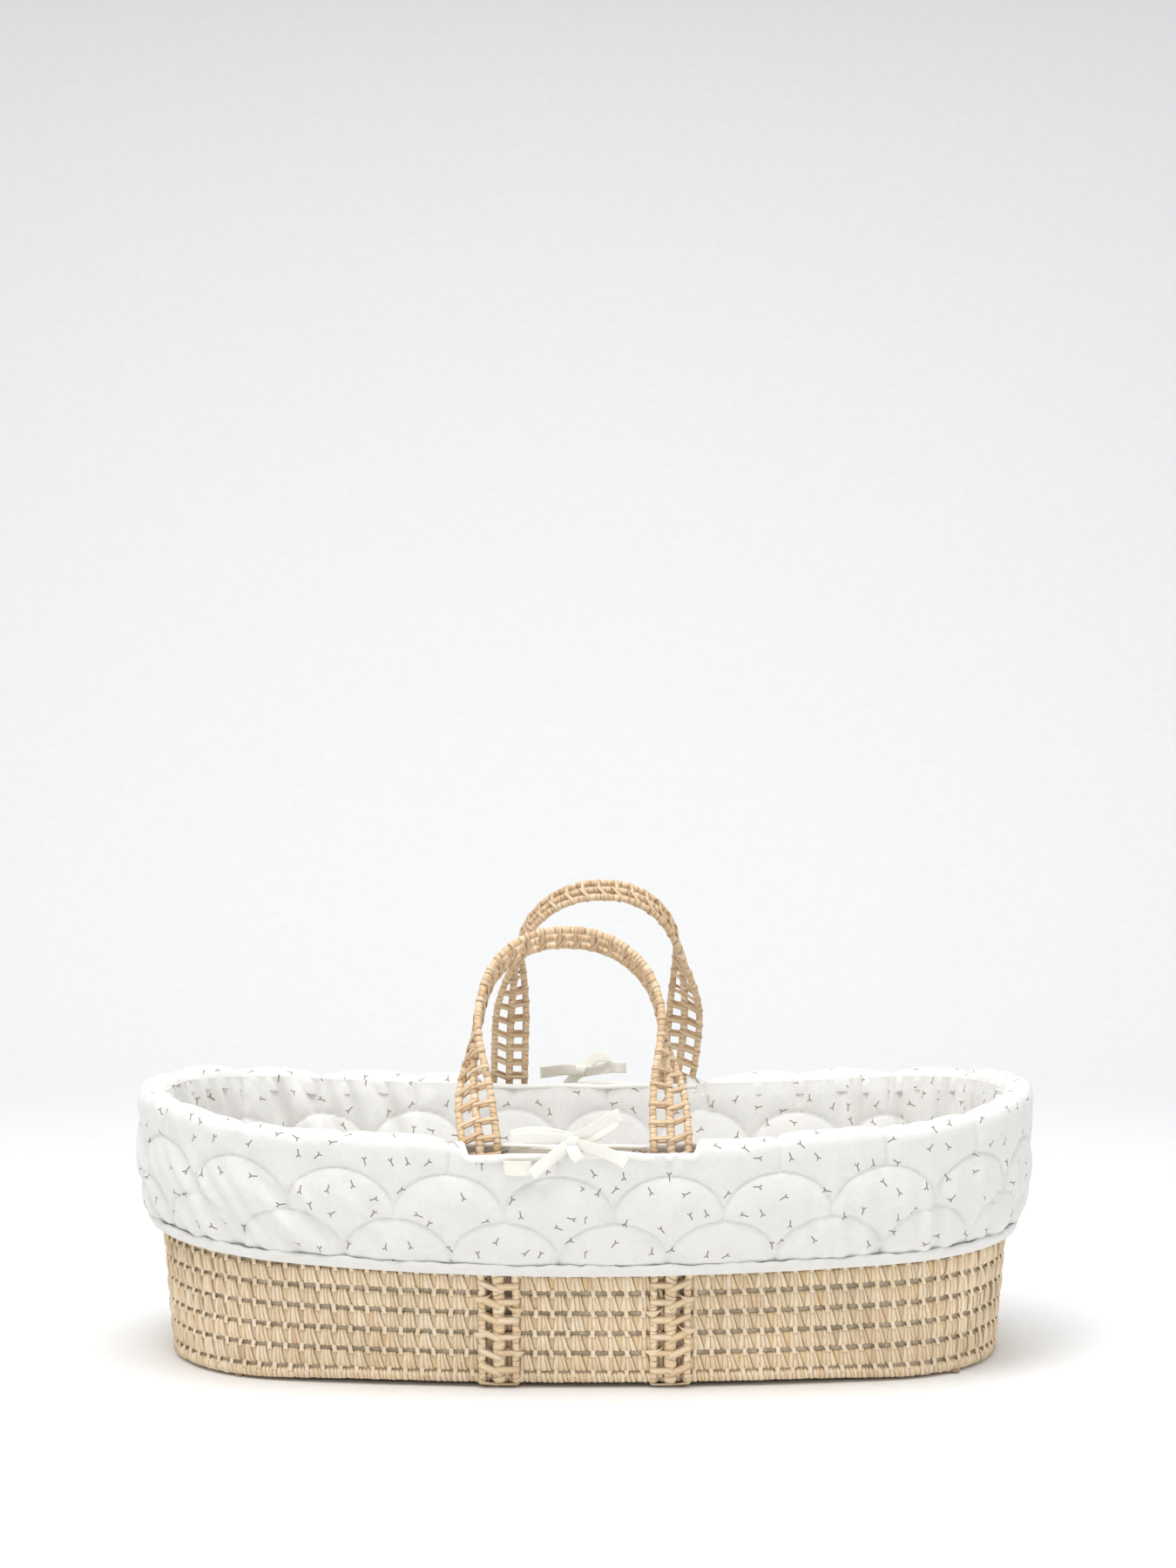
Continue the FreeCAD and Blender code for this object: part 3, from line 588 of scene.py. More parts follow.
def side_strap(sign):
    """Middle line of a strap and the way across it: up the front from a round bend under the wall,
    leaning away from the middle towards the top, straight under the floor, and the same at the back."""
    foot, top = strap_face(WALL_LOW + STRAP_BEND), strap_face(STRAP_TOP)
    arc = np.linspace(0, math.pi / 2, 9)
    radius = STRAP_BEND + STRAP_HALF
    rise_z = np.linspace(STRAP_TOP, WALL_LOW + STRAP_BEND, 40)
    rise_y = np.interp(rise_z, [WALL_LOW + STRAP_BEND, STRAP_TOP], [foot, top]) + STRAP_HALF
    bend_y = foot - STRAP_BEND + radius * np.cos(arc)
    bend_z = WALL_LOW + STRAP_BEND - radius * np.sin(arc)
    under = np.linspace(foot - STRAP_BEND, 0, 20)
    y = np.concatenate([rise_y, bend_y[1:], under[1:]])
    z = np.maximum(np.concatenate([rise_z, bend_z[1:], np.full(19, 0.0)]), WALL_LOW - STRAP_HALF + STRAP_LIFT)
    x = STRAP_X_LOW + (STRAP_X_HIGH - STRAP_X_LOW) * smooth((z - 0.085) / (STRAP_TOP - 0.085))

    def front_to_back(values, flip):
        """The front half, turned by flip, and then the back half as its mirror."""
        return np.concatenate([flip * values, values[-2::-1]])

    line = np.stack([front_to_back(sign * x, 1), front_to_back(y, -1), front_to_back(z, 1)], -1)
    ahead = unit(np.gradient(line, axis=0))
    along_x = np.array([1.0, 0.0, 0.0])
    across = unit(along_x - (ahead @ along_x)[:, None] * ahead)
    return line, across


for side, sign in (("left", -1), ("right", 1)):
    line, across = side_strap(sign)
    inner, outer = line - sign * across * STRAP_EDGE, line + sign * across * STRAP_EDGE
    parts = [wrapped_cord(inner, across, CORD_RADIUS, 0.85), wrapped_cord(outer, across, CORD_RADIUS, 0.85),
             wrapped_cord(line, across, MIDDLE_RADIUS, 0.5, MIDDLE_PITCH),
             rungs(line, inner, STRAP_RUNG_RADII, 0.0),
             rungs(line, outer, STRAP_RUNG_RADII, STRAP_RUNG_SLANT)]
    strap = piece("palm_side_strap_" + side, parts, strap_leaf)
    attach(strap, "basket")
    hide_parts("side_strap_" + side)


# ---------------------------------------------------------------- the rope feet
# Near each end a short wrapped rope strap is sewn flat under the floor and lifts it off the ground.
for side in ("left", "right"):
    low, high = (np.array(corner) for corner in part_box("foot_strap_" + side))
    middle = (low + high) / 2
    y = np.linspace(low[1] - 0.003, high[1] + 0.003, 64)
    radius = (high[2] - low[2]) / 2
    parts = []
    for place in (-1.0, -0.5, 0.0, 0.5, 1.0):
        x = middle[0] + place * ((high[0] - low[0]) / 2 - radius) + 0.0006 * np.sin(y * 90 + place * 3)
        line = np.stack([x, y, np.full_like(y, middle[2])], -1)
        across = np.tile([1.0, 0.0, 0.0], (len(y), 1))
        parts.append(wrapped_cord(line, across, radius + 0.0012, 0.70, MIDDLE_PITCH))
    foot = piece("palm_foot_" + side, parts, strap_leaf)
    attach(foot, "basket")
    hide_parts("foot_strap_" + side)


# ---------------------------------------------------------------- the lashings
# Short twists of pale raffia, each pulled round one edge of a strap and into the coil behind it.
LASHING_WIDTH = 0.0056
LASHINGS = {-1: ((-1, 0.085), (1, 0.075), (-1, 0.052), (1, 0.034)),
            1: ((1, 0.086), (-1, 0.072), (1, 0.056), (-1, 0.036))}

raffia = palm_leaf("raffia", (
    (0.0, (0.80, 0.62, 0.40)), (0.6, (0.87, 0.73, 0.53)), (1.0, (0.90, 0.80, 0.62))), (0.40, 0.26, 0.13))
lashing_points = []
for sign, ties in LASHINGS.items():
    for edge, level in ties:
        for face in (-1, 1):
            t = np.linspace(0, 1, 9)
            x = sign * STRAP_X_LOW + edge * (0.0225 - 0.0165 * t)
            sag = 0.0030 * np.sin(math.pi * t) - 0.0040 * t + random.uniform(-0.0006, 0.0006)
            z = level - sag
            y = strap_face(z) + 0.0010 + 0.0062 * np.sin(math.pi * np.clip(t * 0.9 + 0.12, 0, 1)) ** 0.6
            twist = 0.9 * math.pi * (t - 0.35)
            wide, thick = rounded(6, LASHING_WIDTH / 2, 0.0009, 0.9)
            taper = (0.45 + 0.55 * np.sin(math.pi * (0.1 + 0.8 * t)))[:, None]
            up = taper * (wide * np.cos(twist)[:, None] - thick * np.sin(twist)[:, None])
            out = taper * (wide * np.sin(twist)[:, None] * 0.45 + thick * np.cos(twist)[:, None])
            ribbon = np.stack([x[:, None] + 0 * up, face * (y[:, None] + out), z[:, None] + up], -1)
            lashing_points.append(ribbon if face * edge > 0 else ribbon[:, ::-1])
lashings = piece("raffia_lashings", shell(np.array(lashing_points), fibre="along",
                                          leaf=random.random((len(lashing_points), 1, 1))), raffia)
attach(lashings, "basket")
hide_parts("strap_lashings")


# ---------------------------------------------------------------- the liner's skirt and crest
# The liner is crinkled cotton muslin quilted to wadding in rows of clamshells. Outside it hangs as a
# skirt over the wall, and at the rim it folds over in a plump crest with a long slot for each handle.
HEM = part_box("liner_skirt")[0][2]
HEM_RISE, HEM_TILT = 0.016, -0.0045
HEM_REACH = 0.400
SKIRT_LOW_OVAL = np.array([0.4035, 0.1980])
SKIRT_GROWTH = np.array([0.0215, 0.0215])
SKIRT_FULL = 0.204
SKIRT_FLARE = 0.069
CREST = 0.2305
CREST_DROP = 0.016
LINING_SETBACK = 0.0148
CREST_TAIL = 0.006
SLOT = (-0.118, 0.112)
SLOT_EDGE = 0.219
SLOT_RAMP = 0.030
FABRIC = 0.0050
CLIMB_STEPS, OVER_STEPS, TAIL_STEPS = 56, 26, 4
SHELL_PITCH = 0.098
SHELL_ROW = 0.044
SHELL_HEIGHT = 0.040
FIRST_CUSPS = 0.118
FIRST_PEAK_WAY = 0.026
PUFF = 0.0044
PUFF_REACH = 0.012
SEAM_DEPTH = 0.0016


def muslin(name, print_share):
    """Off-white crinkled double muslin: a fine weave and soft crinkles as bump, a soft sheen, and, if
    print_share isn't 0, a scattered print of small three-armed twigs, each in its own cell, turned at
    random: a point is inked if it is near one of the three arms."""
    material, shader = new_material(name, 0.9, 0.25)
    shader.inputs["Sheen Roughness"].default_value = 0.5
    cloth = add(material, "ShaderNodeUVMap", uv_map="cloth").outputs["UV"]
    place = add(material, "ShaderNodeTexCoord").outputs["Object"]
    crinkle = noise(material, cloth, 230.0, 3.0, 0.6)
    soft = noise(material, place, 45.0, 2.0)
    threads = []
    for direction in ("X", "Y"):
        wave = add(material, "ShaderNodeTexWave", {"Vector": cloth, "Scale": 420.0, "Distortion": 1.2,
                                                   "Detail": 1.0}, bands_direction=direction)
        threads.append(wave.outputs["Fac"])
    weave = work_out(material, "MAXIMUM", *threads)
    colour = ramp(material, soft, ((0.3, (0.80, 0.79, 0.765)), (0.7, (0.845, 0.835, 0.81))))
    # Painted shade: the colour is a little darker in the crinkles' hollows, where the bump's height is low.
    tone = ramp(material, crinkle, ((0.25, (0.93, 0.93, 0.925)), (0.6, (1, 1, 1))))
    colour = mix(material, 0.7, colour, tone, "MULTIPLY")
    if print_share:
        cell = add(material, "ShaderNodeTexVoronoi", {"Vector": cloth, "Scale": 40.0, "Randomness": 0.80},
                   voronoi_dimensions="2D")
        local = add(material, "ShaderNodeVectorMath", {0: cloth, 1: cell.outputs["Position"]},
                    operation="SUBTRACT").outputs[0]
        chance = add(material, "ShaderNodeSeparateColor", {"Color": cell.outputs["Color"]})
        turned = work_out(material, "MULTIPLY", chance.outputs["Red"], 2 * math.pi)
        local = add(material, "ShaderNodeVectorRotate", {"Vector": local, "Angle": turned},
                    rotation_type="Z_AXIS").outputs[0]
        nearest = None
        for degrees, length in ((-84, 0.0050), (48, 0.0027), (132, 0.0024)):
            arm = (math.cos(math.radians(degrees)), math.sin(math.radians(degrees)), 0)
            dot = add(material, "ShaderNodeVectorMath", {0: local, 1: arm},
                      operation="DOT_PRODUCT").outputs["Value"]
            dot = add(material, "ShaderNodeClamp", {"Value": dot, "Min": 0.0, "Max": length}).outputs[0]
            foot = add(material, "ShaderNodeVectorMath", {0: arm, "Scale": dot}, operation="SCALE").outputs[0]
            gap = add(material, "ShaderNodeVectorMath", {0: local, 1: foot},
                      operation="DISTANCE").outputs["Value"]
            nearest = gap if nearest is None else work_out(material, "MINIMUM", nearest, gap)
        ink = add(material, "ShaderNodeMapRange", {"Value": nearest, "From Min": 0.00032, "From Max": 0.00080,
                                                   "To Min": print_share, "To Max": 0.0}).outputs["Result"]
        printed = work_out(material, "LESS_THAN", chance.outputs["Green"], 0.84)
        ink = work_out(material, "MULTIPLY", ink, printed)
        colour = mix(material, ink, colour, (0.14, 0.105, 0.065, 1))
    height = work_out(material, "MULTIPLY_ADD", crinkle, 4.0, weave)
    bump = add(material, "ShaderNodeBump", {"Height": height, "Strength": 0.30, "Distance": 0.0004})
    material.node_tree.links.new(colour, shader.inputs["Base Color"])
    material.node_tree.links.new(bump.outputs["Normal"], shader.inputs["Normal"])
    return material


printed_muslin = muslin("printed muslin", 0.85)
ways_round = oval_way(*(SKIRT_LOW_OVAL + SKIRT_GROWTH))[1][-1]
shells_round = round(ways_round / SHELL_PITCH)
shell_pitch = ways_round / shells_round
ripple_phase = random.uniform(0, 2 * math.pi, 12)


def quilting(way, rise):
    """Height of the quilted cloth over its lowest level, in metres. Rows of half ovals, each row shifted
    by half a pitch, are sewn down, with a straight pucker up from each oval of the top row. The cloth
    rises from the nearest seam towards full puff."""
    above = rise - FIRST_CUSPS
    row = np.minimum(np.floor(above / SHELL_ROW), 1)
    within = above - row * SHELL_ROW
    near = np.full(np.shape(way + rise), 1.0)
    for back in (0, 1):
        phase = (way - FIRST_PEAK_WAY) / shell_pitch + 0.5 * ((row - back) % 2)
        aside = (phase - np.round(phase)) * shell_pitch
        upward = within + back * SHELL_ROW
        half = shell_pitch / 2
        off = np.abs(np.sqrt((aside / half) ** 2 + (upward / SHELL_HEIGHT) ** 2) - 1) * SHELL_HEIGHT
        near = np.minimum(near, off)
        if back == 0:
            stem = np.hypot(aside, np.maximum(SHELL_HEIGHT - upward, 0))
            near = np.minimum(near, stem)
    near = np.where(rise < FIRST_CUSPS - 0.001, np.minimum(near, np.abs(rise - FIRST_CUSPS) + 0.004), near)
    return PUFF * (1 - np.exp(-near / PUFF_REACH)) - SEAM_DEPTH * np.exp(-(near / 0.0014) ** 2)


def gathers(way, rise, x):
    """Soft folds, strongest at the ends and low down: sines along slanting lines, of 14 to 40 mm."""
    ends = smooth((np.abs(x) - 0.12) / 0.20)
    left = smooth((-x - 0.08) / 0.12)
    total = 0
    for k, (length, lean, size) in enumerate(((0.034, 0.9, 1.0), (0.023, 0.8, 0.7), (0.051, 1.1, 0.8))):
        line = (way + lean * rise) / length + 0.35 * np.sin(way * 23 + ripple_phase[k])
        total = total + size * left * np.sin(2 * math.pi * line + ripple_phase[k + 3])
    for k, (length, size) in enumerate(((0.021, 0.8), (0.033, 0.9), (0.015, 0.4))):
        line = (way + 0.12 * rise * np.sin(way * 9)) / length + 0.5 * np.sin(way * 17 + ripple_phase[k + 6])
        total = total + size * (1 - left) * np.sin(2 * math.pi * line + ripple_phase[k + 9])
    low = 0.16 + 0.84 * smooth((0.205 - rise) / 0.06)
    low = low * (0.30 + 0.70 * smooth((rise - HEM) / 0.022))
    return 0.0021 * total * (0.10 + 0.90 * ends) * low


def hem_level(x):
    """Height of the skirt's lower edge: it rises with the square of the way to the ends, a little more
    at the left one."""
    share = x / HEM_REACH
    return HEM + (HEM_RISE + HEM_TILT * share) * share ** 2


def skirt_oval(height):
    """Half length and half width of the skirt's outside at a height: it rounds out from the hem up to
    its full size, and from there the long sides flare a little."""
    short = np.clip((SKIRT_FULL - height) / (SKIRT_FULL - HEM), 0, 1) ** 2
    flare = np.maximum(height - SKIRT_FULL, 0) * SKIRT_FLARE
    return (SKIRT_LOW_OVAL[0] + SKIRT_GROWTH[0] * (1 - short),
            SKIRT_LOW_OVAL[1] + SKIRT_GROWTH[1] * (1 - short) + flare)


def crest_profile(x, steps):
    """Heights and the share of the way across the crest at each step. The first steps climb the skirt,
    the next go over the crest in a half round, and the last go a little way down the inside."""
    crest = (saddle(CREST, x) + 0.0016 * np.sin(x * 31 + 1) + 0.0010 * np.sin(x * 77))[:, None]
    shoulder = crest - CREST_DROP
    climb, over = np.clip(steps, 0, 1), np.clip(steps - 1, 0, 1) * math.pi
    tail = np.clip(steps - 2, 0, 1)
    hem = hem_level(x)[:, None]
    height = hem + (shoulder - hem) * climb + CREST_DROP * np.sin(over) ** 0.85 - CREST_TAIL * tail
    return height, (1 - np.copysign(np.abs(np.cos(over)) ** 0.8, np.cos(over))) / 2


def outline_ways(count, fine_at, fine_half, fine_count):
    """Ways round the basket: evenly spaced, and closer together around the slots' ends."""
    even = np.linspace(0, ways_round, count, endpoint=False)
    fine = np.concatenate([np.linspace(at - fine_half, at + fine_half, fine_count) for at in fine_at])
    keep = np.all(np.abs(even[:, None] - np.array(fine_at)) > fine_half + 0.001, axis=1)
    return np.sort(np.concatenate([even[keep], fine % ways_round]))


half_round = ways_round / 2
slot_ends = [SLOT[0] % ways_round, SLOT[1], half_round - SLOT[1], half_round - SLOT[0]]
skirt_ways = outline_ways(820, slot_ends, 0.018, 26)


def in_slot(way):
    """1 inside a slot and 0 outside, with a slow rise to the crest at each end."""
    front = (way + half_round) % ways_round - half_round
    back = way - half_round
    ends = [(front, SLOT[0], SLOT[1]), (back, -SLOT[1], -SLOT[0])]
    half = SLOT_RAMP / 2
    return sum(smooth((place - low + half) / SLOT_RAMP) * smooth((high + half - place) / SLOT_RAMP)
               for place, low, high in ends)


def skirt_surface(way, steps):
    """Points of the liner's outside and the way up the cloth at each. way is a column, steps a grid."""
    size = SKIRT_LOW_OVAL + SKIRT_GROWTH
    turn = turn_at(way, *size)
    x = oval(*size, turn)[0]
    height, across = crest_profile(x, steps)
    turn = np.broadcast_to(turn[:, None], steps.shape)
    outer = np.stack(oval(*skirt_oval(height), turn), -1)
    share = (height - WALL_LOW) / (WALL_HIGH - WALL_LOW)
    wall = [LOW_OVAL[k] + share * (HIGH_OVAL[k] - LOW_OVAL[k]) for k in (0, 1)]
    inner = np.stack(oval(wall[0], wall[1], turn, -LINING_SETBACK), -1)
    plan = outer * (1 - across[..., None]) + inner * across[..., None]
    points = np.concatenate([plan, height[..., None]], -1)
    rise = HEM + np.concatenate([np.zeros((len(way), 1)),
                                 np.cumsum(np.linalg.norm(np.diff(points, axis=1), axis=-1), 1)], 1)
    along = np.roll(points, -1, 0) - np.roll(points, 1, 0)
    normal = unit(np.cross(along, np.gradient(points, axis=1)))
    push = quilting(way[:, None], rise) - PUFF + gathers(way[:, None], rise, x[:, None])
    hem_pull = 0.0022 * np.exp(-((rise - HEM) / 0.008) ** 2)
    return points + normal * (push - hem_pull)[..., None], rise, normal


def skirt_steps(way):
    """Steps up the profile for each way round. Along a slot the steps over the crest stop at its edge."""
    counts = (CLIMB_STEPS, OVER_STEPS, TAIL_STEPS)
    climb, over, tail = (k + np.linspace(0, 1, count) for k, count in enumerate(counts))
    base = np.concatenate([climb, over[1:], tail[1:]])
    size = SKIRT_LOW_OVAL + SKIRT_GROWTH
    shoulder = saddle(CREST, oval(*size, turn_at(way, *size))[0]) - CREST_DROP
    lip = (SLOT_EDGE - shoulder) / CREST_DROP
    stop = 1 + np.arcsin(np.clip(lip, 0, 1)) / math.pi
    slot = in_slot(way)
    end = base[-1] * (1 - slot) + stop * slot
    over = (base - 1)[None] * ((end - 1) / (base[-1] - 1))[:, None]
    return np.where(base[None] <= 1, base[None], 1 + over)


def sheet_loops(points, normal, thickness):
    """Closed skin round a sheet: its outside, and the same grid set back along the normal, joined."""
    back = points - normal * thickness
    return np.concatenate([points, back[:, ::-1]], 1)


steps = skirt_steps(skirt_ways)
outside, rise, normal = skirt_surface(skirt_ways, steps)
skin = shell(sheet_loops(outside, normal, FABRIC), ring=True)


def cloth_map(ways, rise):
    """Corner uv for a closed sheet's ring skin, from the way round at each row and the rise at each
    point of its outside. The rises run back down the inside, and both close on their first value."""
    ways = np.append(ways, ways_round)
    rises = np.concatenate([rise, rise[:, ::-1]], 1)
    rises = np.concatenate([rises, rises[:1]], 0)
    rises = np.concatenate([rises, rises[:, :1]], 1)
    i, j = np.meshgrid(np.arange(len(ways) - 1), np.arange(rises.shape[1] - 1), indexing="ij")
    corner_i = np.stack([i, i + 1, i + 1, i], -1)
    corner_j = np.stack([j, j, j + 1, j + 1], -1)
    return np.stack([ways[corner_i], rises[corner_i, corner_j]], -1).reshape(-1, 2)


skirt = piece("muslin_skirt", skin, printed_muslin, cloth_map(skirt_ways, rise))
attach(skirt, "basket")
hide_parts("liner_skirt")


# ---------------------------------------------------------------- the lining inside
# Inside, the same quilted muslin lines the wall from the crest down to a flat floor under the mattress.
LINING_TOP = 0.222
LINING_FABRIC = 0.0045
FLOOR_LOW, FLOOR_HIGH = (corner[2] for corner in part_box("liner_floor"))

lining_ways = np.linspace(0, ways_round, 760, endpoint=False)
size = SKIRT_LOW_OVAL + SKIRT_GROWTH
turn = turn_at(lining_ways, *size)[:, None]
x = oval(*size, turn)[0]
steps = np.linspace(0, 1, 74)[None] ** 1.25
top = np.where(in_slot(lining_ways)[:, None] > 0.5, LINING_TOP, LINING_TOP + 0.002)
height = saddle(top, x) * (1 - steps) + (FLOOR_HIGH + 0.001) * steps
share = (height - WALL_LOW) / (WALL_HIGH - WALL_LOW)
wall = [LOW_OVAL[k] + share * (HIGH_OVAL[k] - LOW_OVAL[k]) for k in (0, 1)]
plan = oval(wall[0], wall[1], np.broadcast_to(turn, height.shape), -LINING_SETBACK)
inside = np.stack([*plan, height], -1)
rise = 0.285 + saddle(top, x) - height
normal = unit(np.cross(np.roll(inside, -1, 0) - np.roll(inside, 1, 0), np.gradient(inside, axis=1)))
folds = gathers(lining_ways[:, None], rise * 0.5, x)
push = quilting(lining_ways[:, None], height + 0.003) - 0.6 * PUFF + 1.5 * folds
tuck = -0.0016 * smooth(1 - steps * 12)
inside = inside + normal * (push + tuck)[..., None]
skin = shell(sheet_loops(inside, normal, LINING_FABRIC), ring=True)
lining = piece("muslin_lining", skin, printed_muslin, cloth_map(lining_ways, rise))
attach(lining, "basket")
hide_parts("liner_lining")

plain_muslin = muslin("plain muslin", 0.0)
spread = np.concatenate([np.linspace(0.02, 0.985, 26), [1.0, 1.0], np.linspace(0.985, 0.02, 26)])
turn = np.linspace(0, 2 * math.pi, 220, endpoint=False)[:, None]
x, y = oval(LOW_OVAL[0] - 0.0104, LOW_OVAL[1] - 0.0104, turn)
levels = np.concatenate([np.full(26, FLOOR_HIGH), [FLOOR_HIGH - 0.001, FLOOR_LOW + 0.001],
                         np.full(26, FLOOR_LOW)])
dimple = 0.0007 * np.cos(x * spread * 70) * np.cos(y * spread * 70) * (np.arange(54) < 26)
grid = np.stack([x * spread, y * spread, levels + dimple - 0.0007], -1)
floor_cloth = piece("muslin_floor", shell(np.swapaxes(grid, 0, 1)), plain_muslin)
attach(floor_cloth, "basket")
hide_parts("liner_floor")


# ---------------------------------------------------------------- the tape round the hem and the slots
# Soft cotton tape, folded over the cut edges: white round the hem and cream round the slots.
HEM_TAPE = 0.0098
HEM_TAPE_THICK = 0.0013


def tape_cotton(name, dull, bright):
    """Cotton twill between two tones, with fine slanting ribs as bump."""
    material, shader = new_material(name, 0.88, 0.2)
    cloth = add(material, "ShaderNodeUVMap", uv_map="cloth").outputs["UV"]
    ribs = add(material, "ShaderNodeTexWave", {"Vector": cloth, "Scale": 520.0, "Distortion": 0.4},
               bands_direction="DIAGONAL").outputs["Fac"]
    cloudy = noise(material, cloth, 90.0, 2.0)
    bump = add(material, "ShaderNodeBump", {"Height": ribs, "Strength": 0.25, "Distance": 0.0003})
    colour = ramp(material, cloudy, ((0.3, dull), (0.7, bright)))
    material.node_tree.links.new(colour, shader.inputs["Base Color"])
    material.node_tree.links.new(bump.outputs["Normal"], shader.inputs["Normal"])
    return material


hem_cotton = tape_cotton("hem tape", (0.78, 0.765, 0.735), (0.82, 0.81, 0.78))
binding_cotton = tape_cotton("binding tape", (0.86, 0.85, 0.80), (0.90, 0.89, 0.84))
way = np.linspace(0, ways_round, 900, endpoint=False)
turn = turn_at(way, *size)
wave = 0.0005 * np.sin(way * 260 + 2 * np.sin(way * 41)) + 0.0006 * np.sin(way * 97 + 1)
up = np.array([0.0, 0.25, 0.62, 0.9, 1.0, 1.0, 0.5, 0.0, -0.06, -0.06]) * HEM_TAPE
out = np.array([HEM_TAPE_THICK, 0.0019, 0.0018, 0.0012, -0.0004, -0.0020, -0.0062, -0.0066, -0.0030, 0.0004])
x = oval(*SKIRT_LOW_OVAL, turn)[0]
height = hem_level(x)[:, None] - 0.0004 + up[None] * (1 + 0.03 * np.sin(way * 53))[:, None]
height = height + wave[:, None] * (up / HEM_TAPE)
puff = out[None] + 0.0004 * np.sin(way * 180 + 3 * np.sin(way * 29))[:, None]
x, y = oval(*skirt_oval(height), np.broadcast_to(turn[:, None], height.shape), puff - 0.0012)
hem_band = piece("hem_tape", shell(np.stack([x, y, height], -1), ring=True, fibre="around"), hem_cotton)
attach(hem_band, "basket")
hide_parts("hem_binding")

for name, middle_way in (("front", 0.0), ("back", half_round)):
    low, high = (SLOT[0], SLOT[1]) if name == "front" else (-SLOT[1], -SLOT[0])
    reach = SLOT_RAMP / 2 - 0.0005
    ends = np.linspace(-reach, reach, 30)
    straight = np.linspace(low + reach, high - reach, 90)[1:-1]
    way = np.concatenate([low + ends, straight, high + ends]) + middle_way
    way_here = way % ways_round
    stops = skirt_steps(way_here)[:, -1]
    fans = stops[:, None] + np.array([0.0, -0.10, -0.22, -0.30])[None]
    seam_line, _, face = skirt_surface(way_here, fans[:, ::-1])
    edge, inward = seam_line[:, -1], unit(seam_line[:, -1] - seam_line[:, 0])
    ahead = unit(np.gradient(edge, axis=0))
    facing = unit(face[:, -1])
    rim = unit(np.cross(ahead, facing))
    rim = rim * np.sign((rim * inward).sum(-1, keepdims=True))
    depth_in = np.array([0.0008, 0.0012, -0.0002, -0.0030, -0.0052, -0.0056, -0.0050, -0.0028, -0.0002])
    lifted = np.array([-0.0026, -0.0006, 0.0016, 0.0020, 0.0017, 0.0004, -0.0016, -0.0056, -0.0058])
    points = edge[:, None] + rim[:, None] * depth_in[None, :, None] + facing[:, None] * lifted[None, :, None]
    outer_tape = shell(points, fibre="around")

    way = np.linspace(low - 0.004, high + 0.004, 80) + middle_way
    turn = turn_at(way % ways_round, *size)[:, None]
    wide, tall = rounded(8, 0.0030, 0.0024, 0.8)
    level = 0.2216 + tall[None] + 0.0005 * np.sin(way * 75)[:, None]
    points = wall_point(turn, level, -0.0124 + wide[None] + 0.0004 * np.sin(way * 48)[:, None])
    binding = piece(name + "_slot_tape", [outer_tape, shell(points, fibre="around")], binding_cotton)
    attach(binding, "basket")
    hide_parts(name + "_slot_binding")


# ---------------------------------------------------------------- the bows
# Each slot is closed over its middle by a cotton tape tied in a bow: a knot, two loops and two ends.
TAPE_WIDTH = 0.011
TAPE_THICKNESS = 0.0011
BACK_BOW_SHIFT = np.array([0.006, 0, 0.001])
# Each tape is a list of points from the knot's middle, and the way its width faces at each: X, Y, Z in mm.
FRONT_TAPES = {
    "loops": (
        (((-3, -3, 1), (0.1, -0.2, 1)), ((-16, -5, 3), (0.1, -0.35, 1)), ((-34, -6, 4), (0, -0.4, 1)),
         ((-50, -4, 3), (0, -0.3, 1)), ((-54, -1, 4), (0, 0.0, 1)), ((-49, 2, 5), (0, 0.2, 1)),
         ((-32, 2, 7), (0, 0.3, 1)), ((-15, 2, 5), (0, 0.1, 1)), ((-3, 1, 2), (0, 0, 1))),
        (((3, -2, 3), (-0.5, -0.2, 0.8)), ((14, -5, 9), (-0.5, -0.3, 0.8)), ((26, -7, 17), (-0.5, -0.3, 0.8)),
         ((37, -6, 23), (-0.4, -0.2, 0.9)), ((42, 0, 22), (-0.3, 0.1, 0.9)), ((38, 5, 16), (-0.3, 0.3, 0.9)),
         ((28, 5, 9), (-0.4, 0.3, 0.9)), ((16, 2, 3), (-0.4, 0.2, 0.9)), ((3, 1, 0), (-0.3, 0.2, 0.9)))),
    "tails": (
        (((-3, -2, -2), (-0.6, -0.2, 0.7)), ((-9, -6, -7), (-0.6, -0.2, 0.7)),
         ((-18, -8, -14), (-0.6, -0.1, 0.8)), ((-28, -8.5, -22), (-0.6, 0.1, 0.8)),
         ((-36, -8.5, -29), (-0.6, 0.2, 0.8))),
        (((3, -2, -2), (0.3, -0.3, 0.9)), ((14, -6, -4), (0.3, -0.3, 0.9)), ((26, -8, -8), (0.4, -0.2, 0.9)),
         ((38, -8, -13), (0.4, 0.0, 0.9)), ((48, -8, -19), (0.5, 0.2, 0.9))),
        (((-1, -3, -3), (1, 0, 0.1)), ((1, -6, -8), (1, 0, 0.1)), ((4, -7, -13), (1, 0, 0.2)),
         ((6, -7, -16), (0.9, 0, 0.4))))}
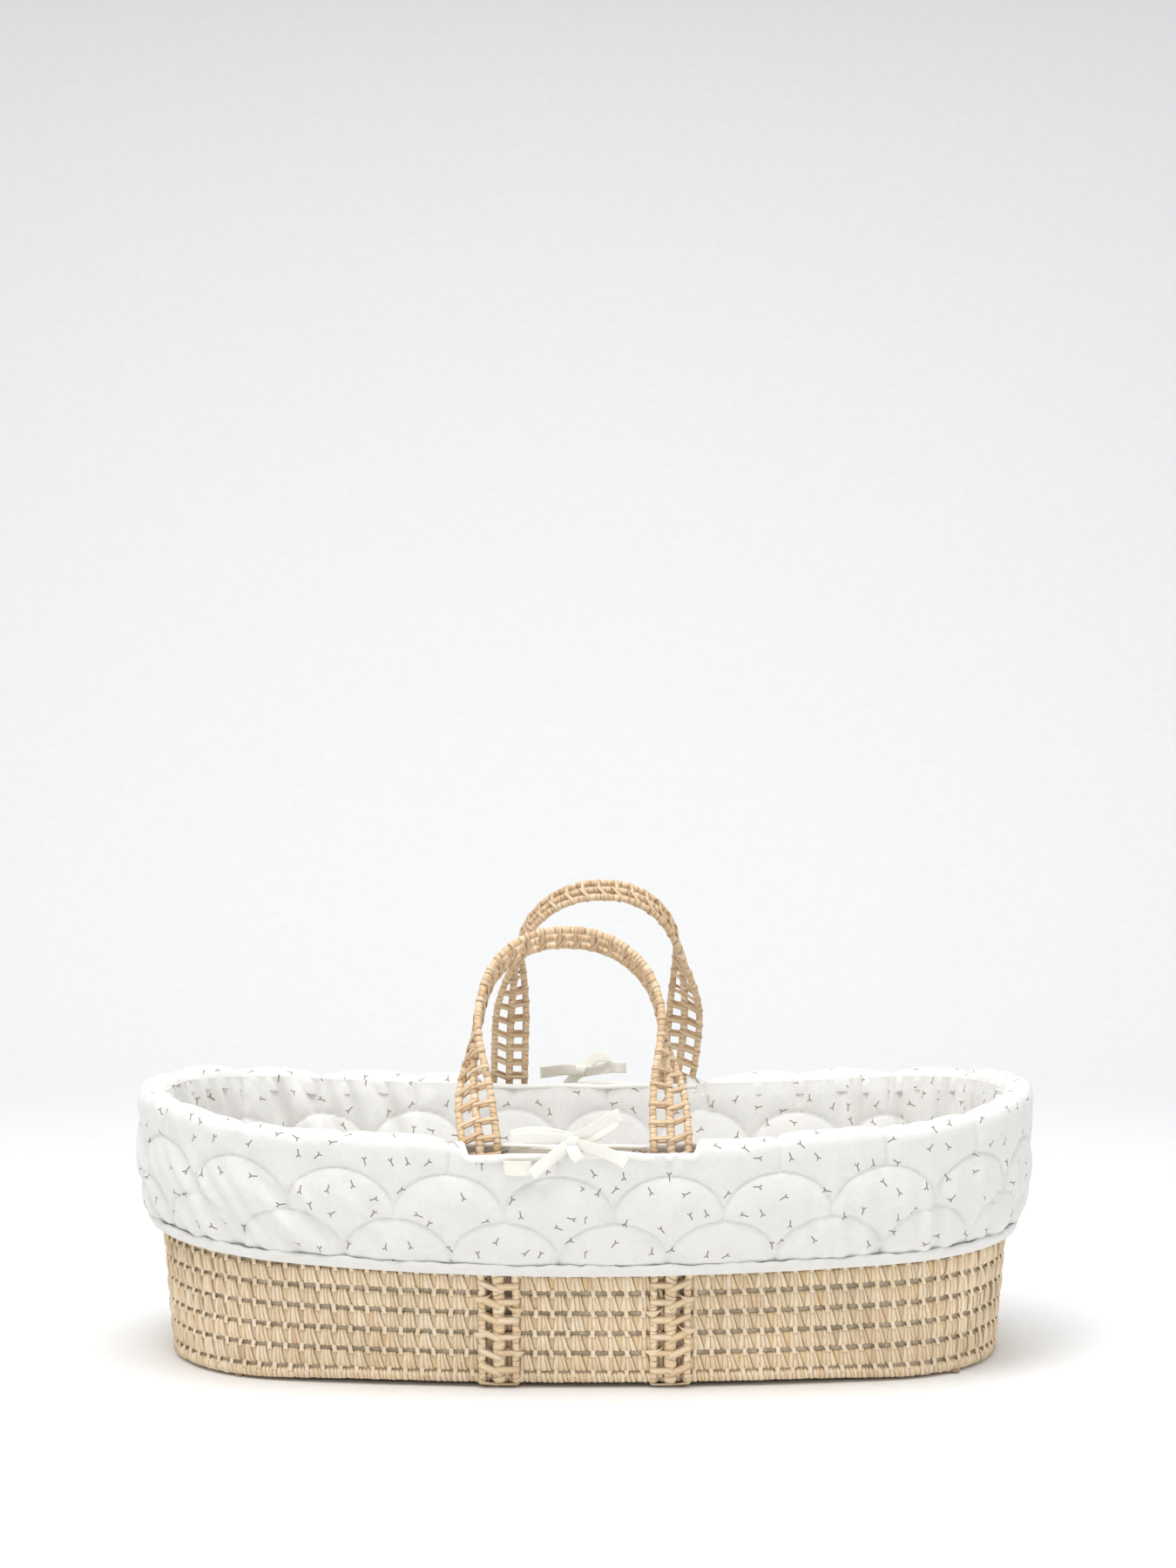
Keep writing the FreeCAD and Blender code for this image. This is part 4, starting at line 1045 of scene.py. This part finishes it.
BACK_TAPES = {
    "loops": (
        (((-3, -2, 1), (0.1, -0.2, 1)), ((-14, -4, 1), (0.1, -0.3, 1)), ((-28, -5, -1), (0, -0.4, 1)),
         ((-38, -3, -2), (0, -0.1, 1)), ((-40, 0, -1), (0, 0.1, 1)), ((-36, 2, 0), (0, 0.2, 1)),
         ((-22, 2, 2), (0, 0.2, 1)), ((-10, 2, 2), (0, 0, 1)), ((-2, 1, 1), (0, 0, 1))),
        (((2, -2, 3), (-0.6, -0.3, 0.7)), ((9, -4, 9), (-0.6, -0.3, 0.7)), ((17, -5, 14), (-0.3, -0.3, 0.9)),
         ((26, -4, 14), (0.2, -0.3, 0.9)), ((30, 0, 9), (0.4, 0.2, 0.8)), ((24, 3, 4), (0.0, 0.4, 0.9)),
         ((14, 3, 1), (0.0, 0.4, 0.9)), ((4, 1, 0), (0.0, 0.3, 0.9)))),
    "tails": (
        (((3, -2, -1), (-0.2, -0.3, 0.9)), ((16, -4, 1), (-0.1, -0.3, 1)), ((32, -5, 3), (0, -0.2, 1)),
         ((47, -5, 3), (0.1, 0.0, 1))),
        (((-2, -2, -2), (-0.7, -0.3, 0.6)), ((-8, -5, -9), (-0.7, -0.2, 0.6)),
         ((-14, -7, -17), (-0.7, -0.1, 0.6)), ((-21, -7.5, -25), (-0.7, 0, 0.6))))}

tie_cotton = tape_cotton("tie tape", (0.875, 0.86, 0.785), (0.92, 0.905, 0.835))


def smooth_line(points, per_run):
    """Line through the points with rounded runs: each is a cubic whose slope at a point is half the
    step between its neighbours."""
    points = np.asarray(points, float)
    padded_points = np.concatenate([2 * points[:1] - points[1:2], points, 2 * points[-1:] - points[-2:-1]])
    t = np.linspace(0, 1, per_run, endpoint=False)[None, :, None]
    p0, p1, p2, p3 = (padded_points[k:len(padded_points) - 3 + k, None] for k in range(4))
    runs = 0.5 * (2 * p1 + (p2 - p0) * t + (2 * p0 - 5 * p1 + 4 * p2 - p3) * t ** 2
                  + (3 * p1 - p0 - 3 * p2 + p3) * t ** 3)
    return np.concatenate([runs.reshape(-1, points.shape[1]), points[-1:]])


def ribbon(tape, centre, flip):
    """Flat tape along a smooth line: a thin round-edged section carried along it, with its width in the
    given direction. flip is 1, or -1 for a bow seen from behind. Returns points and its length."""
    line = smooth_line([place for place, _ in tape], 7) * 0.001
    width = smooth_line([facing for _, facing in tape], 7)
    line, width = line * [1, flip, 1], width * [1, flip, 1]
    ahead = unit(np.gradient(line, axis=0))
    width = unit(width - (width * ahead).sum(-1, keepdims=True) * ahead)
    thick = unit(np.cross(ahead, width))
    wide, high = rounded(10, TAPE_WIDTH / 2, TAPE_THICKNESS / 2, 0.7)
    cup = 0.0004 * (wide / (TAPE_WIDTH / 2)) ** 2
    points = centre + line[:, None] + width[:, None] * wide[None, :, None]
    return points + thick[:, None] * (high + cup)[None, :, None], way_along(line)[-1]


for name, tapes, flip in (("front", FRONT_TAPES, 1), ("back", BACK_TAPES, -1)):
    low, high = (np.array(corner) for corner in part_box(name + "_bow_knot"))
    centre = (low + high) / 2 + ([0, 0, 0] if name == "front" else BACK_BOW_SHIFT)
    for part in ("loops", "tails"):
        made = [ribbon(tape, centre, flip) for tape in tapes[part]]
        made_piece = piece("%s_tie_%s" % (name, part), [shell(points, fibre="along") for points, _ in made],
                           tie_cotton)
        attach(made_piece, "basket")
        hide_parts("%s_bow_%s" % (name, part))
    # The knot is one turn of tape pulled tight: a band round the crossing, pinched at its waist.
    around = np.linspace(0, 2 * math.pi, 28, endpoint=False)
    across = np.linspace(-1, 1, 9)
    pinch = 1 - 0.10 * np.cos(math.pi * across)
    band = np.stack([0.0052 * across[:, None] * (1 + 0.12 * np.sin(around)) + 0.0012 * np.sin(around)[None],
                     0.0052 * pinch[:, None] * np.cos(around)[None] * (1 - 0.2 * across[:, None] ** 2),
                     0.0072 * pinch[:, None] * np.sin(around)[None] * (1 - 0.25 * across[:, None] ** 2)], -1)
    crease = 0.0005 * np.cos(across * 9)[:, None] * np.ones_like(around)
    band = band + unit(band * [0, 1, 1]) * crease[..., None]
    knot = piece(name + "_tie_knot", shell(centre + band * [1, flip, 1], fibre="around"), tie_cotton)
    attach(knot, "basket")
    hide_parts(name + "_bow_knot")


# ---------------------------------------------------------------- the label
# A small folded tab of woven cotton, sewn in under the front slot's tape. It is left plain.
low, high = (np.array(corner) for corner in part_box("label_tab"))
u, v = np.linspace(0, 1, 18), np.linspace(0, 1, 12)
x = low[0] + (high[0] - low[0]) * u[:, None] + 0.0012 * (1 - v)[None]
z = low[2] + (high[2] - low[2]) * v[None] - 0.0009 * np.sin(math.pi * u[:, None]) * (1 - v[None])
y = low[1] + 0.0001 - 0.0010 * (1 - v[None]) ** 2 * (0.4 + u[:, None])
front = np.stack([x + 0 * v, y + 0 * u[:, None], z + 0 * u[:, None]], -1)
grid = np.concatenate([front, front[:, ::-1] + [0, 0.0009, 0]], 1)
label_cotton = tape_cotton("label cotton", (0.85, 0.83, 0.74), (0.89, 0.87, 0.79))
label = piece("plain_label", shell(grid, fibre="around"), label_cotton)
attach(label, "basket")
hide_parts("label_tab")


# ---------------------------------------------------------------- the mattress
# A thin foam mattress in a cotton cover, with a corded seam round its top and bottom edges.
low, high = (np.array(corner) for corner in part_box("mattress_cover"))
half_x, half_y, middle_z, half_z = high[0], high[1], (low[2] + high[2]) / 2, (high[2] - low[2]) / 2
side = np.linspace(-1, 1, 15)
wall_share = 1 - 0.012 * (1 - np.abs(side)) ** 0.5
cap = np.linspace(0.985, 0.03, 34)
spread = np.concatenate([cap[::-1], wall_share, cap])
crown = 1 - 0.10 * spread ** 8
levels = np.concatenate([-np.ones(34), side * 0.93, np.ones(34)])
turn = np.linspace(0, 2 * math.pi, 300, endpoint=False)[None]
x, y = oval(half_x, half_y, turn)
tufts = 0.0014 * np.cos(x * 42 * spread[:, None]) * np.cos(y * 42 * spread[:, None])
tufts = tufts * (np.abs(levels) == 1)[:, None]
z = middle_z + half_z * (levels * crown)[:, None] - np.sign(levels)[:, None] * (0.0016 - tufts) + 0 * x
grid = np.stack([x * spread[:, None], y * spread[:, None], z], -1)
mattress_cotton = muslin("mattress cotton", 0.0)
parts = [shell(grid)]
for level in (-1, 1):
    wide, tall = rounded(6, 0.0016, 0.0016, 1.0)
    x, y = oval(half_x - 0.0016, half_y - 0.0016, turn.T, wide)
    parts.append(shell(np.stack([x, y, middle_z + level * (half_z - 0.0034) + tall + 0 * x], -1), ring=True))
mattress = piece("mattress_cushion", parts, mattress_cotton)
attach(mattress, "mattress")
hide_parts("mattress_cover", "mattress_core")


# ---------------------------------------------------------------- the handles
# Each handle is a strap like the side straps, bent into a tall hoop and twisted a quarter turn, so that
# it is flat to the wall at its feet and edge-on at the top. It leans in, built at rest about its swing
# joint's pivot at the rim.
HANDLE_LINE = ((-93, 0), (-98, 40), (-100, 80), (-97, 120), (-88, 160), (-70, 186), (-45, 201), (-20, 205),
               (8, 202), (35, 189), (56, 166), (67, 138), (72, 100), (75, 60), (77, 0))
# side, lean in degrees, stretch of the line's height, level where the twist starts and its length
HANDLES = (("front", 32, 1.0, 0.005, 0.125), ("back", 22, 1.055, 0.040, 0.135))
EDGE_OFFSET = 0.0155
BRAID_RADIUS, EDGE_RADIUS = 0.0038, 0.0034
LINK_RADII = (0.0032, 0.0031)
LINK_WIDTHS = (0.0042, 0.0040)
LINK_SLANT = 0.0060
ROOT_DEPTH = 0.018
ROOT_OUT = 0.0030
joint_place = {joint["name"]: joint for joint in frame["joints"]}

handle_leaf = palm_leaf("palm handle leaf", (
    (0.00, (0.60, 0.42, 0.25)), (0.25, (0.74, 0.54, 0.34)), (0.60, (0.80, 0.62, 0.42)),
    (0.90, (0.86, 0.70, 0.50)), (1.00, (0.78, 0.55, 0.35))))

for name, lean, stretch, twist_start, twist_length in HANDLES:
    flip = 1 if name == "front" else -1
    lean = math.radians(lean)
    hoop = smooth_line(np.array(HANDLE_LINE) * [1, stretch], 14) * 0.001
    pivot = np.array(joint_place[name + "_handle_swing"]["pos_m"]) * [1, flip, 1]
    along_x, up = np.array([1.0, 0, 0]), np.array([0, math.sin(lean), math.cos(lean)])
    outward = np.array([0, -math.cos(lean), math.sin(lean)])
    centre = pivot + along_x * hoop[:, :1] + up * hoop[:, 1:]
    direction = unit(np.gradient(hoop, axis=0))
    to_inside = along_x * direction[:, 1:] - up * direction[:, :1]
    twist = math.pi / 2 * smooth((hoop[:, 1:] - twist_start) / twist_length)
    across = to_inside * np.cos(twist) + outward * np.sin(twist)
    feet = []
    for end, step in ((0, 1), (-1, -1)):
        share = np.linspace(1, 0.12, 6)[:, None]
        root = centre[end] + share * np.array([0, -ROOT_OUT, -ROOT_DEPTH])
        feet.append((root[::step], np.repeat(across[end][None], 6, 0)))
    line = np.concatenate([feet[0][0], centre, feet[1][0]]) * [flip, flip, 1]
    across = np.concatenate([feet[0][1], across, feet[1][1]]) * [flip, flip, 1]
    inner, outer = line + across * EDGE_OFFSET, line - across * EDGE_OFFSET
    groups = {"braid": [wrapped_cord(line, across, BRAID_RADIUS, 0.90)],
              "inner_cord": [wrapped_cord(inner, across, EDGE_RADIUS)],
              "outer_cord": [wrapped_cord(outer, across, EDGE_RADIUS)],
              "links": [rungs(line, inner, LINK_RADII, 0.0, LINK_WIDTHS[0]),
                        rungs(line, outer, LINK_RADII, LINK_SLANT, LINK_WIDTHS[1])]}
    for part, skins in groups.items():
        made = piece("palm_%s_handle_%s" % (name, part), skins, handle_leaf)
        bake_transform(made)
        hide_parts("%s_handle_%s" % (name, part))


# ---------------------------------------------------------------- the studio
# A pale sheet that lies on the floor and curves up behind, a broad soft key light and gentle fill.
scene = bpy.context.scene
scene.view_settings.view_transform = "Standard"
scene.view_settings.look = "None"

depth_line = np.linspace(-1, 1, 60)
floor_y = np.interp(depth_line, [-1, 0.5, 1], [-4.0, 2.2, 3.6])
floor_z = 0.9 * smooth((floor_y - 1.6) / 2.2) ** 1.5 * 2.4
side_line = np.linspace(-5, 5, 20)
grid = np.stack(np.broadcast_arrays(side_line[:, None], floor_y[None], floor_z[None]), -1)
flat = np.concatenate([grid, (grid - [0, 0, 0.02])[:, ::-1]], 1)
paper, shader = new_material("backdrop paper", 0.95)
grain = add(paper, "ShaderNodeTexNoise", {"Vector": add(paper, "ShaderNodeTexCoord").outputs["Object"],
                                          "Scale": 60.0}).outputs["Fac"]
paper.node_tree.links.new(ramp(paper, grain, ((0.3, (0.88, 0.88, 0.88)), (0.7, (0.90, 0.90, 0.90)))),
                          shader.inputs["Base Color"])
backdrop = piece("backdrop", shell(flat), paper)

world = bpy.data.worlds.new("studio")
scene.world = world
world.use_nodes = True
world.node_tree.nodes["Background"].inputs["Color"].default_value = (0.97, 0.985, 1.0, 1)
world.node_tree.nodes["Background"].inputs["Strength"].default_value = 0.66


def soft_light(name, place, aim, size, power, colour=(1, 1, 1)):
    """Square area light that points at aim."""
    light = bpy.data.lights.new(name, "AREA")
    light.size, light.energy, light.color = size, power, colour
    made = bpy.data.objects.new(name, light)
    scene.collection.objects.link(made)
    made.location = place
    made.rotation_euler = look_at(place, aim)
    return made


def look_at(place, aim):
    """Euler turn that points an object's -Z from place to aim, with its X level."""
    dx, dy, dz = (aim[k] - place[k] for k in range(3))
    return (math.pi / 2 + math.atan2(dz, math.hypot(dx, dy)), 0, math.atan2(-dx, dy))


soft_light("key", (-0.9, -1.3, 2.9), (0, 0, 0.15), 1.3, 32, (1, 0.985, 0.96))
soft_light("fill", (2.2, -1.6, 1.3), (0, 0, 0.15), 1.6, 5, (0.97, 0.985, 1))
soft_light("top", (0.1, -0.35, 2.8), (0, 0, 0.1), 1.8, 42)

camera_data = bpy.data.cameras.new("camera")
camera_data.lens = 72.11
camera_data.sensor_width = 36
camera = bpy.data.objects.new("camera", camera_data)
scene.collection.objects.link(camera)
camera.location = (0.003, -2.9726, 0.6788)
camera.rotation_euler = (math.radians(90 - 2.729), 0, 0)
scene.camera = camera
